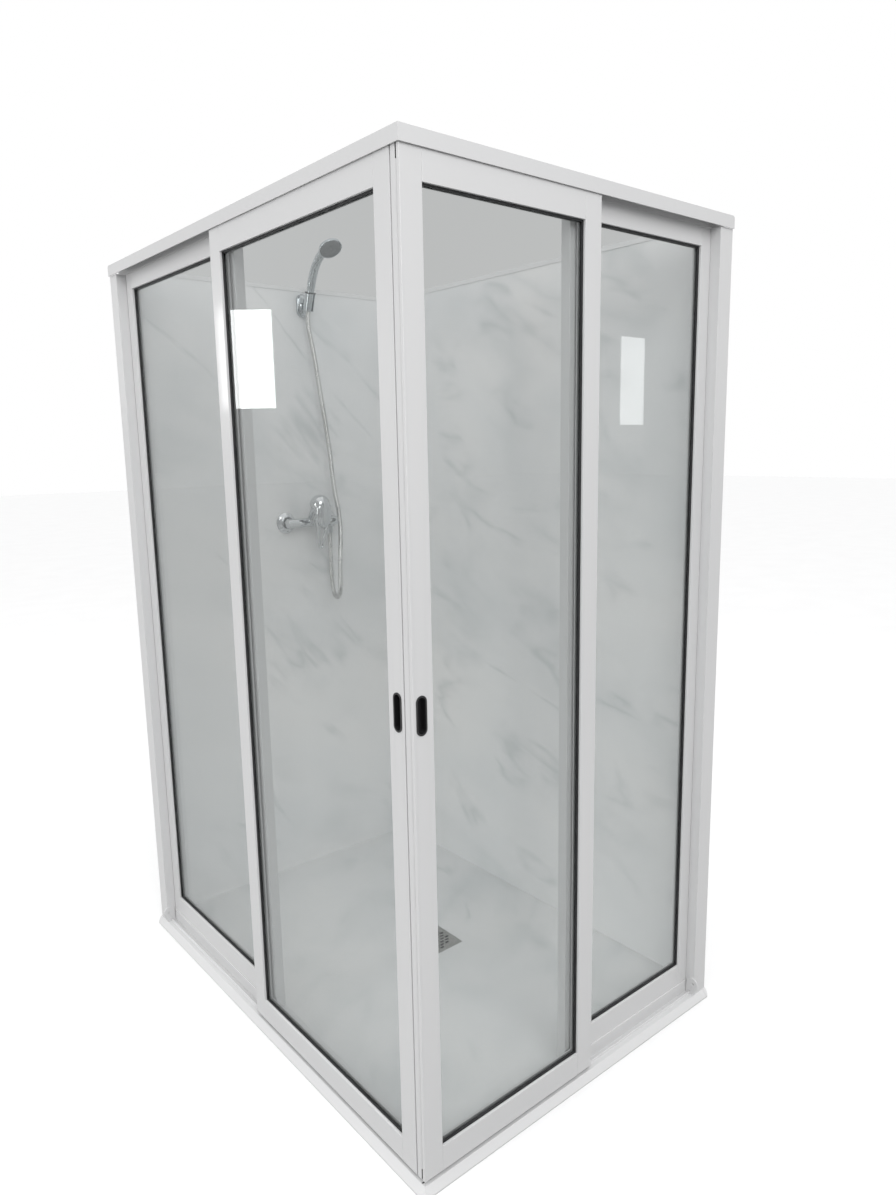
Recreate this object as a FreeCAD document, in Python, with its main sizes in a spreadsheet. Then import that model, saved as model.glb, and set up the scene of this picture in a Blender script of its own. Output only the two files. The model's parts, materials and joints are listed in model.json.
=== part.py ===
import FreeCAD, Part
import math
import os
import re

import Sketcher

# Corner-entry shower enclosure with a flat tray, two back panels, a mixer and a hand shower.
# Layout axes: X runs along the short glazed face and Y along the long one, both away from the
# front corner. Depth counts inwards from the outer plane of the doors. All lengths are in mm.

doc = FreeCAD.newDocument("ShowerEnclosure")
sheet = doc.addObject("Spreadsheet::Sheet", "Sizes")

SIZES = {
    # whole enclosure
    "right_length": 900,
    "left_length": 1255,
    "height": 1850,
    # framed panes, doors and fixed ones alike
    "frame_depth": 22,
    "plane_gap": 3,
    "stile_width": 44,
    "bar_height": 51,
    "profile_wall": 2,
    "glazing_lip": 6,
    "glazing_groove": 12,
    "glass_thickness": 5,
    "glass_edge_gap": 3,
    "gasket_gap": 0.2,
    "gasket_show": 3.5,
    "seal_groove_width": 3,
    "seal_groove_depth": 5,
    "seal_groove_depth_place": 7.2,
    "seal_gap": 3,
    "seal_head_width": 12,
    "seal_running_gap": 0.3,
    "seal_end_short": 24,
    "seal_side_gap": 0.1,
    # widths and heights of the panes
    "door_left_width": 634,
    "door_right_width": 467,
    "door_bottom": 24,
    "door_cover": 2,
    "pane_cover": 12,
    "pane_overlap": 58,
    # top rail
    "rail_height": 26,
    "rail_overhang": 4,
    "rail_wall": 2.5,
    "rail_mid_leg": 1.6,
    "fit_gap": 0.4,
    "back_wall": 1.6,
    # sill
    "sill_nose": 14,
    "sill_nose_edge": 3,
    "sill_slope_setback": 2,
    "sill_deck": 17,
    "sill_ledge": 47,
    "sill_wall": 2.5,
    "rib_width": 3,
    "rib_height": 6,
    "riser_gap": 0.7,
    # mitre cleats
    "cleat_length": 90,
    "cleat_width": 18,
    "cleat_thickness": 3,
    "cleat_gap": 0.3,
    # ends at the walls
    "cap_thickness": 10,
    "cap_corner_radius": 9,
    "rail_corner_radius": 6,
    "end_plate_thickness": 3,
    "end_plate_radius": 16,
    "end_plate_depth": 5,
    "end_plate_height": 45,
    "end_plate_hole_radius": 2.5,
    "end_plate_hole_depth": 1.5,
    # wall profiles
    "wall_profile_width": 45,
    "left_insert": 8,
    "right_insert": 12,
    "fixing_hole_radius": 2.5,
    "fixing_end_height": 260,
    # doors' running gear
    "roller_radius": 12,
    "roller_groove_radius": 10,
    "roller_width": 8,
    "roller_groove_width": 3.6,
    "roller_running_gap": 0.02,
    "axle_radius": 2.5,
    "axle_running_gap": 0.05,
    "carriage_length": 46,
    "carriage_gap": 0.2,
    "carriage_bottom": 26.5,
    "carriage_inset": 45,
    "wheel_slot_gap": 1,
    "guide_length": 40,
    "guide_height": 12,
    "guide_inset": 30,
    # recessed handles
    "handle_height": 925,
    "handle_from_edge": 18,
    "handle_length": 71,
    "handle_width": 23,
    "handle_rim": 1.7,
    "handle_proud": 1.2,
    "handle_depth": 14,
    "handle_wall": 1.5,
    "handle_fit": 0.2,
    # tray and waste
    "tray_rim": 20,
    "tray_gap": 0.3,
    "tray_rim_width": 20,
    "basin_depth": 6,
    "drain_right": 520,
    "drain_left": 622,
    "grate_size": 120,
    "grate_thickness": 2,
    "grate_gap": 0.4,
    "grate_slot_length": 12,
    "grate_slot_width": 6,
    "grate_slot_step": 17,
    "grate_row_step": 11,
    "grate_pattern_radius": 52,
    "waste_flange": 2,
    "waste_hole_radius": 54,
    "waste_gap": 1,
    "waste_wall": 3,
    "waste_floor": 5,
    "outlet_radius": 25,
    "outlet_wall": 3,
    # back panels
    "panel_thickness": 10,
    "panel_gap": 0.3,
    "angle_leg": 20,
    "angle_thickness": 1.5,
    "trim_thickness": 1.5,
    "trim_drop": 12,
    # mixer
    "mixer_right": 548,
    "mixer_height": 1150,
    "mixer_reach": 42,
    "inlet_spacing": 150,
    "inlet_radius": 10.5,
    "inlet_stub": 15,
    "inlet_shoulder": 0.8,
    "inlet_hole_gap": 0.7,
    "escutcheon_radius": 32,
    "escutcheon_depth": 12,
    "escutcheon_top_radius": 20,
    "escutcheon_face": 4,
    "union_nut_radius": 14,
    "union_nut_length": 15,
    "barrel_radius": 13.5,
    "barrel_end": 17.5,
    "boss_length": 18,
    "housing_radius": 22.5,
    "housing_length": 58,
    "housing_tilt": 36,
    "spindle_radius": 12,
    "spindle_seat": 16,
    "spindle_running_gap": 0.05,
    "spindle_tongue_width": 18,
    "spindle_tongue_depth": 13,
    "spindle_tongue_top": 7,
    "dome_offset": 67,
    "dome_radius": 31,
    "dome_wall": 3.5,
    "dome_skirt": 6,
    "lever_pin_radius": 3,
    "lever_pin_half": 20,
    "lever_lug_radius": 6.5,
    "lever_lug_gap": 0.3,
    "pin_running_gap": 0.05,
    "lever_forward": 18,
    "lever_lean": -9,
    "lever_length": 125,
    "lever_flare": 8,
    "lever_tip_radius": 7,
    "lever_bar_radius": 4.5,
    "lever_bar_start": 4,
    "outlet_inset": 19,
    "nipple_radius": 8,
    "nipple_length": 18,
    "nipple_gap": 3,
    "hose_nut_radius": 10.5,
    "hose_nut_length": 20,
    # hand shower and its bracket
    "bracket_right": 562,
    "bracket_below_top": 40,
    "bracket_plate_width": 34,
    "bracket_plate_height": 66,
    "bracket_plate_depth": 9,
    "bracket_plate_drop": 11,
    "bracket_reach": 26,
    "ear_radius": 8,
    "ear_thickness": 6,
    "knuckle_radius": 7.5,
    "knuckle_width": 12,
    "knuckle_gap": 0.1,
    "knuckle_pin_radius": 3,
    "cup_reach": 24,
    "cup_length": 50,
    "cup_wall": 2.5,
    "cup_slot": 15,
    "holder_tilt": 18,
    "cone_top_radius": 12.5,
    "cone_low_radius": 10.5,
    "cone_gap": 0.3,
    "cone_rise": 5,
    "handset_low_radius": 10.5,
    "handset_top_radius": 12.5,
    "handset_straight": 15,
    "handset_bend_radius": 145,
    "handset_bend": 50,
    "handset_neck": 22,
    "head_nod": 77,
    "head_radius": 34,
    "head_back_radius": 18,
    "head_back_depth": 10,
    "head_rim_depth": 8,
    "spray_radius": 30.5,
    "spray_depth": 3,
    "spray_proud": 1,
    "spray_gap": 0.1,
    # hose
    "hose_radius": 7,
    "hose_bore_radius": 4.5,
    "hose_end_gap": 0.3,
    "hose_run_share": 0.45,
    "hose_top_run": 34,
    # degrees of a half circle, and the overrun of every cutting tool past the face that it cuts
    "half_circle": 180,
    "overrun": 5,
}

for row, (alias, value) in enumerate(SIZES.items(), start=1):
    sheet.set("A%d" % row, alias)
    sheet.set("B%d" % row, str(value))
    sheet.setAlias("B%d" % row, alias)
doc.recompute()


def size(alias):
    """One driving dimension, read from the sheet."""
    return float(sheet.get(alias))


# formulas that several pieces share
CORNER_X = "(sill_nose - right_length) / 2"
CORNER_Y = "(sill_nose - left_length - inlet_stub) / 2"
PANE_FRONT = "(frame_depth + plane_gap)"
PANE_BACK = "(2 * frame_depth + plane_gap)"
INNER = "(2 * frame_depth + plane_gap + fit_gap + back_wall)"
RAIL_BOTTOM = "(height - rail_height)"
DOOR_TOP = "(height - rail_height + door_cover)"
PANE_TOP = "(height - rail_height + pane_cover)"
DOOR_LEFT_START = "(frame_depth + seal_gap)"
PANEL_RIGHT = "(right_length - panel_thickness)"
PANEL_LEFT = "(left_length - panel_thickness)"
TRACK_DEPTH = "(frame_depth / 2)"
BODY_Y = "(%s - mixer_reach)" % PANEL_LEFT
OUTLET_X = "(mixer_right + inlet_spacing / 2 - outlet_inset)"
PIVOT_Y = "(%s - bracket_reach)" % PANEL_LEFT
PIVOT_Z = "(height - bracket_below_top)"
ROLLER_HEIGHT = "(sill_deck + rib_height + roller_groove_radius + roller_running_gap)"
BASIN_BOTTOM = "(tray_rim - basin_depth)"

AXIS_X = FreeCAD.Vector(1, 0, 0)
AXIS_Y = FreeCAD.Vector(0, 1, 0)
AXIS_Z = FreeCAD.Vector(0, 0, 1)
NAME = re.compile("[a-z_]+")


def bound(text):
    """A sheet expression from a formula that is written with plain size names."""
    return NAME.sub(
        lambda found: "Sizes." + found.group(0) if found.group(0) in SIZES else found.group(0), text)


def size_of(formula):
    """The value of a formula that is written with plain size names."""
    return float(sheet.evalExpression(bound(formula)))


def axes(along_x, along_y, along_z):
    """The rotation that carries a piece's own axes to the three given directions."""
    return FreeCAD.Rotation(along_x, along_y, along_z, "ZXY")


UPRIGHT = axes(AXIS_X, AXIS_Y, AXIS_Z)
TO_X = axes(AXIS_Y, AXIS_Z, AXIS_X)
TO_Y = axes(AXIS_Z, AXIS_X, AXIS_Y)
TO_MINUS_Y = axes(AXIS_X, AXIS_Z, -AXIS_Y)


def place(piece, at, turn=UPRIGHT, from_corner=True):
    """Put a piece at a place that follows the sheet, counted from the front corner at the floor."""
    shifts = (CORNER_X, CORNER_Y, "0") if from_corner else ("0", "0", "0")
    piece.Placement = FreeCAD.Placement(FreeCAD.Vector(), turn)
    for letter, shift, value in zip("xyz", shifts, at):
        piece.setExpression("Placement.Base." + letter, bound("%s + %s" % (shift, value)))
    return piece


def box(name, spans, at, **options):
    """A block with its three spans along its own axes."""
    piece = doc.addObject("Part::Box", name)
    for side, span in zip(("Length", "Width", "Height"), spans):
        piece.setExpression(side, bound(span))
    return place(piece, at, **options)


def cylinder(name, radius, length, at, turn=UPRIGHT, **options):
    """A round bar whose axis starts at the given place."""
    piece = doc.addObject("Part::Cylinder", name)
    piece.setExpression("Radius", bound(radius))
    piece.setExpression("Height", bound(length))
    return place(piece, at, turn, **options)


def cone(name, low_radius, top_radius, length, at, turn=UPRIGHT, **options):
    """A tapered round bar whose axis starts at the given place."""
    piece = doc.addObject("Part::Cone", name)
    piece.setExpression("Radius1", bound(low_radius))
    piece.setExpression("Radius2", bound(top_radius))
    piece.setExpression("Height", bound(length))
    return place(piece, at, turn, **options)


def sphere(name, radius, at, **options):
    """A ball at the given centre."""
    piece = doc.addObject("Part::Sphere", name)
    piece.setExpression("Radius", bound(radius))
    return place(piece, at, **options)


def fuse(name, pieces):
    """Several touching shapes as one solid."""
    joined = doc.addObject("Part::MultiFuse", name)
    joined.Shapes = pieces
    joined.Refine = True
    return joined


def cut(name, blank, tools):
    """A blank with one or more tools taken away."""
    result = doc.addObject("Part::Cut", name)
    result.Base = blank
    result.Tool = tools[0] if len(tools) == 1 else fuse(name + "_tools", tools)
    result.Refine = True
    return result


def group(name, pieces):
    """Separate like solids that share one node."""
    together = doc.addObject("Part::Compound", name)
    together.Links = pieces
    return together


def plane(body, role):
    """One of a body's own origin planes."""
    return next(item for item in body.Origin.OriginFeatures if item.Role == role)


def draw(sketch, outline):
    """A closed outline whose corners are held at formulas of the sheet."""
    first = sketch.GeometryCount
    count = len(outline)
    turn_share = 2 * math.pi / count
    seats = [FreeCAD.Vector(math.cos(turn_share * i), math.sin(turn_share * i), 0)
             for i in range(count)]
    for i in range(count):
        sketch.addGeometry(Part.LineSegment(seats[i], seats[(i + 1) % count]))
    for i in range(count):
        following = first + (i + 1) % count
        sketch.addConstraint(Sketcher.Constraint("Coincident", first + i, 2, following, 1))
    for i, corner in enumerate(outline):
        for kind, axis, value in (("DistanceX", -2, corner[0]), ("DistanceY", -1, corner[1])):
            if value == "0":
                sketch.addConstraint(Sketcher.Constraint("PointOnObject", first + i, 1, axis))
                continue
            number = sketch.addConstraint(Sketcher.Constraint(kind, -1, 1, first + i, 1, 1.0))
            sketch.setExpression("Constraints[%d]" % number, bound(value))


def extrusion(name, outlines, length, at, turn):
    """A profile bar: outlines in the plane of the section, drawn out along the bar."""
    body = doc.addObject("PartDesign::Body", name)
    sketch = body.newObject("Sketcher::SketchObject", name + "_section")
    sketch.AttachmentSupport = (plane(body, "XY_Plane"), [""])
    sketch.MapMode = "FlatFace"
    for outline in outlines:
        draw(sketch, outline)
    pad = body.newObject("PartDesign::Pad", name + "_length")
    pad.Profile = sketch
    pad.setExpression("Length", bound(length))
    return place(body, at, turn)


def rectangle(low_x, low_y, high_x, high_y):
    """The four corners of a rectangle in a section."""
    return [(low_x, low_y), (high_x, low_y), (high_x, high_y), (low_x, high_y)]


# How a pane's members lie: the section's width runs away from the pane's edge, its depth
# inwards or outwards, and the bar's length up or along the face.
MEMBER_TURNS = {
    "left": {
        "start": axes(AXIS_Y, -AXIS_X, AXIS_Z),
        "end": axes(-AXIS_Y, AXIS_X, AXIS_Z),
        "low": axes(AXIS_Z, AXIS_X, AXIS_Y),
        "top": axes(-AXIS_Z, -AXIS_X, AXIS_Y),
    },
    "right": {
        "start": axes(AXIS_X, AXIS_Y, AXIS_Z),
        "end": axes(-AXIS_X, -AXIS_Y, AXIS_Z),
        "low": axes(AXIS_Z, -AXIS_Y, AXIS_X),
        "top": axes(-AXIS_Z, AXIS_Y, AXIS_X),
    },
}
# members whose section is drawn from the inner face outwards
FROM_INSIDE = {("left", "start"), ("left", "top"), ("right", "end"), ("right", "low")}


def on_face(face, along, depth, height):
    """A place on a glazed face: along it, inwards from the doors' outer plane, and up."""
    return (depth, along, height) if face == "left" else (along, depth, height)


def face_box(name, face, along, depth, height):
    """A block on a glazed face, from pairs of start and span."""
    at = on_face(face, along[0], depth[0], height[0])
    return box(name, on_face(face, along[1], depth[1], height[1]), at)


def member_section(width, open_foot=False, seal_groove=False):
    """A hollow frame profile with a glazing groove in its inner edge."""
    groove = "%s - glazing_groove" % width
    outline = [("0", "0")]
    outline += [(width, "0"), (width, "glazing_lip"), (groove, "glazing_lip")]
    outline += [(groove, "frame_depth - glazing_lip"), (width, "frame_depth - glazing_lip")]
    outline += [(width, "frame_depth"), ("0", "frame_depth")]
    chamber_end = "%s - profile_wall" % groove
    if open_foot:
        outline += [("0", "frame_depth - profile_wall"), (chamber_end, "frame_depth - profile_wall")]
        outline += [(chamber_end, "profile_wall"), ("0", "profile_wall")]
        return [outline]
    chamber_start = "profile_wall"
    if seal_groove:
        low = "seal_groove_depth_place"
        high = "seal_groove_depth_place + seal_groove_width"
        outline += [("0", high), ("seal_groove_depth", high), ("seal_groove_depth", low), ("0", low)]
        chamber_start = "seal_groove_depth + profile_wall"
    return [outline, rectangle(chamber_start, "profile_wall", chamber_end,
                               "frame_depth - profile_wall")]


def member(name, face, side, section, length, along, front, height):
    """One bar of a pane's frame, seated by the corner that its section starts from."""
    depth = "%s + frame_depth" % front if (face, side) in FROM_INSIDE else front
    turn = MEMBER_TURNS[face][side]
    return extrusion(name, section, length, on_face(face, along, depth, height), turn)


def glazing(prefix, face, start, width, front, low, top):
    """A pane of glass and the black gasket that holds it in the frame's groove."""
    bite = "(glazing_groove - glass_edge_gap)"
    glass_front = "%s + (frame_depth - glass_thickness) / 2" % front
    glass_along = ("%s + stile_width - %s" % (start, bite),
                   "%s - 2 * stile_width + 2 * %s" % (width, bite))
    glass_up = ("%s + bar_height - %s" % (low, bite),
                "%s - %s - 2 * bar_height + 2 * %s" % (top, low, bite))
    face_box(prefix + "_glass", face, glass_along, (glass_front, "glass_thickness"), glass_up)
    reach = "(glazing_groove - gasket_gap)"
    ring = face_box(
        prefix + "_gasket_blank", face,
        ("%s + stile_width - %s" % (start, reach), "%s - 2 * stile_width + 2 * %s" % (width, reach)),
        ("%s + glazing_lip + gasket_gap" % front, "frame_depth - 2 * glazing_lip - 2 * gasket_gap"),
        ("%s + bar_height - %s" % (low, reach),
         "%s - %s - 2 * bar_height + 2 * %s" % (top, low, reach)))
    opening = face_box(
        prefix + "_gasket_opening", face,
        ("%s + stile_width + gasket_show" % start, "%s - 2 * stile_width - 2 * gasket_show" % width),
        (front, "frame_depth"),
        ("%s + bar_height + gasket_show" % low,
         "%s - %s - 2 * bar_height - 2 * gasket_show" % (top, low)))
    slot = face_box(
        prefix + "_gasket_slot", face,
        ("%s - gasket_gap" % glass_along[0], "%s + 2 * gasket_gap" % glass_along[1]),
        ("%s - gasket_gap" % glass_front, "glass_thickness + 2 * gasket_gap"),
        ("%s - gasket_gap" % glass_up[0], "%s + 2 * gasket_gap" % glass_up[1]))
    cut(prefix + "_gasket", ring, [opening, slot])


def fixed_pane(face, start, end):
    """A fixed framed pane that stands on the sill's ledge and in the wall profile."""
    prefix = "fixed_" + face
    width = "(%s - %s)" % (end, start)
    front = PANE_FRONT
    height = "%s - sill_ledge" % PANE_TOP
    stiles = [
        member(prefix + "_inner_stile", face, "start", member_section("stile_width"), height, start,
               front, "sill_ledge"),
        member(prefix + "_wall_stile", face, "end", member_section("stile_width"), height, end, front,
               "sill_ledge"),
    ]
    group(prefix + "_stiles", stiles)
    length = "%s - 2 * stile_width" % width
    along = "%s + stile_width" % start
    bars = [
        member(prefix + "_low_bar", face, "low", member_section("bar_height"), length, along, front,
               "sill_ledge"),
        member(prefix + "_top_bar", face, "top", member_section("bar_height"), length, along, front,
               PANE_TOP),
    ]
    group(prefix + "_bars", bars)
    glazing(prefix, face, start, width, front, "sill_ledge", PANE_TOP)


def stadium(name, length, width, depth, at, turn):
    """An upright slot shape: a block with round ends, its depth along its own Y."""
    straight = "(%s) - (%s)" % (length, width)
    block = box(name + "_block", (width, depth, straight),
                ("-(%s) / 2" % width, "0", "-(%s) / 2" % straight),
                from_corner=False)
    low = cylinder(name + "_low", "(%s) / 2" % width, depth, ("0", "0", "-(%s) / 2" % straight), TO_Y,
                   from_corner=False)
    high = cylinder(name + "_high", "(%s) / 2" % width, depth, ("0", "0", "(%s) / 2" % straight), TO_Y,
                    from_corner=False)
    shape = fuse(name, [block, low, high])
    return place(shape, at, turn)


def handle(prefix, face, start):
    """A recessed pull: a cup with a thin rim, and the hole that it needs in the stile."""
    turn = axes(-AXIS_Y, AXIS_X, AXIS_Z) if face == "left" else UPRIGHT
    along = "%s + handle_from_edge" % start
    body_length = "handle_length - 2 * handle_rim"
    body_width = "handle_width - 2 * handle_rim"

    def at(depth):
        return on_face(face, along, depth, "handle_height")

    rim = stadium(prefix + "_handle_rim", "handle_length", "handle_width", "handle_proud",
                  at("-handle_proud"), turn)
    cup = stadium(prefix + "_handle_cup", body_length, body_width, "handle_depth", at("0"), turn)
    hollow = stadium(
        prefix + "_handle_hollow", "%s - 2 * handle_wall" % body_length,
        "%s - 2 * handle_wall" % body_width,
        "handle_depth - handle_wall + handle_proud", at("-handle_proud"), turn)
    cut(prefix + "_handle", fuse(prefix + "_handle_shell", [rim, cup]), [hollow])
    return stadium(
        prefix + "_handle_hole", "%s + 2 * handle_fit" % body_length,
        "%s + 2 * handle_fit" % body_width,
        "profile_wall + overrun", at("-overrun"), turn)


def magnet_seal(prefix, face, start, meets_door):
    """The closing seal in the leading stile's end groove, short of both its ends."""
    groove = "seal_groove_depth_place"
    if face == "left":
        groove = "frame_depth - seal_groove_depth_place - seal_groove_width"
    height = ("door_bottom + seal_end_short", "%s - door_bottom - 2 * seal_end_short" % DOOR_TOP)
    name = prefix + "_magnet_seal"
    root = face_box(name + "_root" if meets_door else name, face,
                    (start, "seal_groove_depth - seal_side_gap"),
                    (groove + " + seal_side_gap", "seal_groove_width - 2 * seal_side_gap"), height)
    if meets_door:
        head = face_box(name + "_head", face, ("%s - seal_gap + seal_running_gap" % start,
                                               "seal_gap - seal_running_gap"),
                        ("(frame_depth - seal_head_width) / 2", "seal_head_width"), height)
        fuse(name, [root, head])


def roller(prefix, face, place_name, along):
    """A grooved wheel that runs on the sill's rib, and the tool shapes of its carriage."""
    turn = TO_X if face == "left" else TO_Y
    flange = "(roller_width - roller_groove_width) / 2"
    first = "%s - roller_width / 2" % TRACK_DEPTH
    name = "%s_roller_%s" % (prefix, place_name)

    def disc(label, radius, depth, length):
        return cylinder(label, radius, length, on_face(face, along, depth, ROLLER_HEIGHT), turn)

    near = disc(name + "_near_flange", "roller_radius", first, flange)
    core = disc(name + "_core", "roller_groove_radius", first, "roller_width")
    far = disc(name + "_far_flange", "roller_radius", "%s + roller_width - %s" % (first, flange),
               flange)
    bore = disc(name + "_bore", "axle_radius + axle_running_gap", "%s - overrun" % first,
                "roller_width + 2 * overrun")
    cut(name, fuse(name + "_blank", [near, core, far]), [bore])


def carriage(prefix, face, place_name, along):
    """A roller's housing with its axle, inside the foot of the door's bottom bar."""
    name = "%s_carriage_%s" % (prefix, place_name)
    depth_start = "profile_wall + carriage_gap"
    depth_span = "frame_depth - 2 * profile_wall - 2 * carriage_gap"
    top = "(door_bottom + bar_height - glazing_groove - profile_wall - carriage_gap)"
    blank = face_box(name + "_blank", face, ("%s - carriage_length / 2" % along, "carriage_length"),
                     (depth_start, depth_span), ("carriage_bottom", "%s - carriage_bottom" % top))
    slot_radius = "(roller_radius + wheel_slot_gap)"
    slot_width = "(roller_width + wheel_slot_gap)"
    slot = face_box(name + "_slot", face, ("%s - %s" % (along, slot_radius), "2 * %s" % slot_radius),
                    ("%s - %s / 2" % (TRACK_DEPTH, slot_width), slot_width),
                    ("carriage_bottom - overrun",
                     "%s + %s - carriage_bottom + overrun" % (ROLLER_HEIGHT, slot_radius)))
    turn = TO_X if face == "left" else TO_Y
    axle = cylinder(name + "_axle", "axle_radius", depth_span,
                    on_face(face, along, depth_start, ROLLER_HEIGHT), turn)
    return fuse(name, [cut(name + "_housing", blank, [slot]), axle])


def door(face, start, width, meets_door):
    """A sliding framed door with its handle, seal, guides and rollers."""
    prefix = "door_" + face
    end = "(%s + %s)" % (start, width)
    height = "%s - door_bottom" % DOOR_TOP
    lead = member(prefix + "_lead_profile", face, "start",
                  member_section("stile_width", seal_groove=True),
                  height, start, "0", "door_bottom")
    cut(prefix + "_lead_stile", lead, [handle(prefix, face, start)])
    member(prefix + "_trail_stile", face, "end", member_section("stile_width"), height, end, "0",
           "door_bottom")
    length = "%s - 2 * stile_width" % width
    along = "%s + stile_width" % start
    member(prefix + "_top_bar", face, "top", member_section("bar_height"), length, along, "0", DOOR_TOP)
    member(prefix + "_bottom_bar", face, "low", member_section("bar_height", open_foot=True),
           length, along, "0", "door_bottom")
    glazing(prefix, face, start, width, "0", "door_bottom", DOOR_TOP)
    magnet_seal(prefix, face, start, meets_door)
    guide_depth = "fit_gap + rail_wall - rail_overhang"
    guide_span = "frame_depth + plane_gap / 2 - rail_mid_leg / 2 - fit_gap - (%s)" % guide_depth
    guides = []
    for place_name, place_along in (
            ("front", "%s + guide_inset" % start), ("rear", "%s - guide_inset - guide_length" % end)):
        guides.append(face_box("%s_guide_%s" % (prefix, place_name), face,
                               (place_along, "guide_length"),
                               (guide_depth, guide_span), (DOOR_TOP, "guide_height")))
    group(prefix + "_top_guides", guides)
    wheels = (("front", "%s + stile_width + carriage_inset" % start),
              ("rear", "%s - stile_width - carriage_inset" % end))
    carriages = []
    for place_name, place_along in wheels:
        roller(prefix, face, place_name, place_along)
        carriages.append(carriage(prefix, face, place_name, place_along))
    group(prefix + "_roller_carriages", carriages)


def bar_along(name, face, outlines, start, length, front="0", low="0"):
    """A profile that runs along a face, with its section drawn in depth and height."""
    if face == "left":
        return extrusion(name, outlines, length, (front, "%s + %s" % (start, length), low),
                         axes(AXIS_X, AXIS_Z, -AXIS_Y))
    return extrusion(name, outlines, length, (start, front, low), axes(AXIS_Y, AXIS_Z, AXIS_X))


def mitred(name, blank, face, low, span):
    """A bar cut at 45 degrees where the two faces meet."""
    reach = "(2 * sill_nose + 2 * %s + 2 * overrun)" % INNER
    back = "sqrt(2) / 2 * %s" % reach
    share = math.sqrt(0.5)
    along = FreeCAD.Vector(share, share, 0)
    across = FreeCAD.Vector(-share, share, 0)
    at = ("0", "-2 * %s" % back, low)
    if face == "right":
        along, across = -along, -across
        at = ("0", "2 * %s" % back, low)
    tool = box(name + "_mitre_tool", ("2 * %s" % reach, reach, span), at,
               turn=axes(along, across, AXIS_Z))
    return cut(name, blank, [tool])


def rail(face, length):
    """The top rail: a cover face outside, and one channel each for the door and the fixed pane."""
    wall = "rail_wall"
    roof = "rail_height - rail_wall"
    mid_start = "rail_overhang + frame_depth + plane_gap / 2 - rail_mid_leg / 2"
    mid_end = "rail_overhang + frame_depth + plane_gap / 2 + rail_mid_leg / 2"
    back = "rail_overhang + %s - back_wall" % INNER
    end = "rail_overhang + %s" % INNER
    outline = [("0", "0"), (wall, "0"), (wall, roof), (mid_start, roof), (mid_start, "0"),
               (mid_end, "0")]
    outline += [(mid_end, roof), (back, roof), (back, "0"), (end, "0"), (end, "rail_height"),
                ("0", "rail_height")]
    name = "top_rail_" + face
    bar = bar_along(name + "_bar", face, [outline], "-rail_overhang", "(%s + rail_overhang)" % length,
                    "-rail_overhang", RAIL_BOTTOM)
    corner_at = ("%s - rail_corner_radius" % length, "-rail_overhang - overrun",
                 "height - rail_corner_radius")
    block = face_box(name + "_corner_block", face, (corner_at[0], "rail_corner_radius + overrun"),
                     (corner_at[1], "%s + rail_overhang + 2 * overrun" % INNER),
                     (corner_at[2], "rail_corner_radius + overrun"))
    round_bar = cylinder(name + "_corner_bar", "rail_corner_radius",
                         "%s + rail_overhang + 2 * overrun" % INNER,
                         on_face(face, *corner_at), TO_X if face == "left" else TO_Y)
    rounded = cut(name + "_rounded", bar, [cut(name + "_corner", block, [round_bar])])
    mitred(name, rounded, face, "%s - overrun" % RAIL_BOTTOM, "rail_height + 2 * overrun")


def sill(face, length):
    """The sill: a sloped nose, a deck with the doors' running rib, and the fixed pane's ledge."""
    riser = "sill_nose + frame_depth + riser_gap"
    end = "sill_nose + %s" % INNER
    rib_low = "sill_nose + %s - rib_width / 2" % TRACK_DEPTH
    rib_high = "sill_nose + %s + rib_width / 2" % TRACK_DEPTH
    outline = [("0", "0"), (end, "0"), (end, "sill_ledge"), (riser, "sill_ledge"), (riser, "sill_deck")]
    outline += [(rib_high, "sill_deck"), (rib_high, "sill_deck + rib_height")]
    outline += [(rib_low, "sill_deck + rib_height"), (rib_low, "sill_deck")]
    outline += [("sill_nose - sill_slope_setback", "sill_deck"), ("0", "sill_nose_edge")]
    low_chamber = rectangle("sill_nose", "sill_wall", riser, "sill_deck - sill_wall")
    high_chamber = rectangle(riser + " + sill_wall", "sill_wall", end + " - sill_wall",
                             "sill_ledge - sill_wall")
    name = "sill_" + face
    bar = bar_along(name + "_bar", face, [outline, low_chamber, high_chamber], "-sill_nose",
                    "(%s + sill_nose - cap_thickness)" % length, "-sill_nose")
    mitred(name, bar, face, "-overrun", "sill_ledge + 2 * overrun")


def sill_end_cap(face, length):
    """A moulded block with a rounded front corner that closes the sill at the wall."""
    riser = "sill_nose + frame_depth + riser_gap"
    end = "sill_nose + %s" % INNER
    outline = [("0", "0"), (end, "0"), (end, "sill_ledge"), (riser, "sill_ledge"), (riser, "sill_deck")]
    outline += [("sill_nose - sill_slope_setback", "sill_deck"), ("0", "sill_nose_edge")]
    name = "sill_end_cap_" + face
    block = bar_along(name + "_block", face, [outline], "(%s - cap_thickness)" % length,
                      "cap_thickness", "-sill_nose")
    along = "%s - cap_corner_radius" % length
    corner = face_box(name + "_corner", face, (along, "cap_corner_radius + overrun"),
                      ("-sill_nose - overrun", "cap_corner_radius + overrun"),
                      ("-overrun", "sill_deck + 2 * overrun"))
    pillar = cylinder(name + "_pillar", "cap_corner_radius", "sill_deck + 2 * overrun",
                      on_face(face, along, "cap_corner_radius - sill_nose", "-overrun"))
    return cut(name, block, [cut(name + "_outside", corner, [pillar])])


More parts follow.
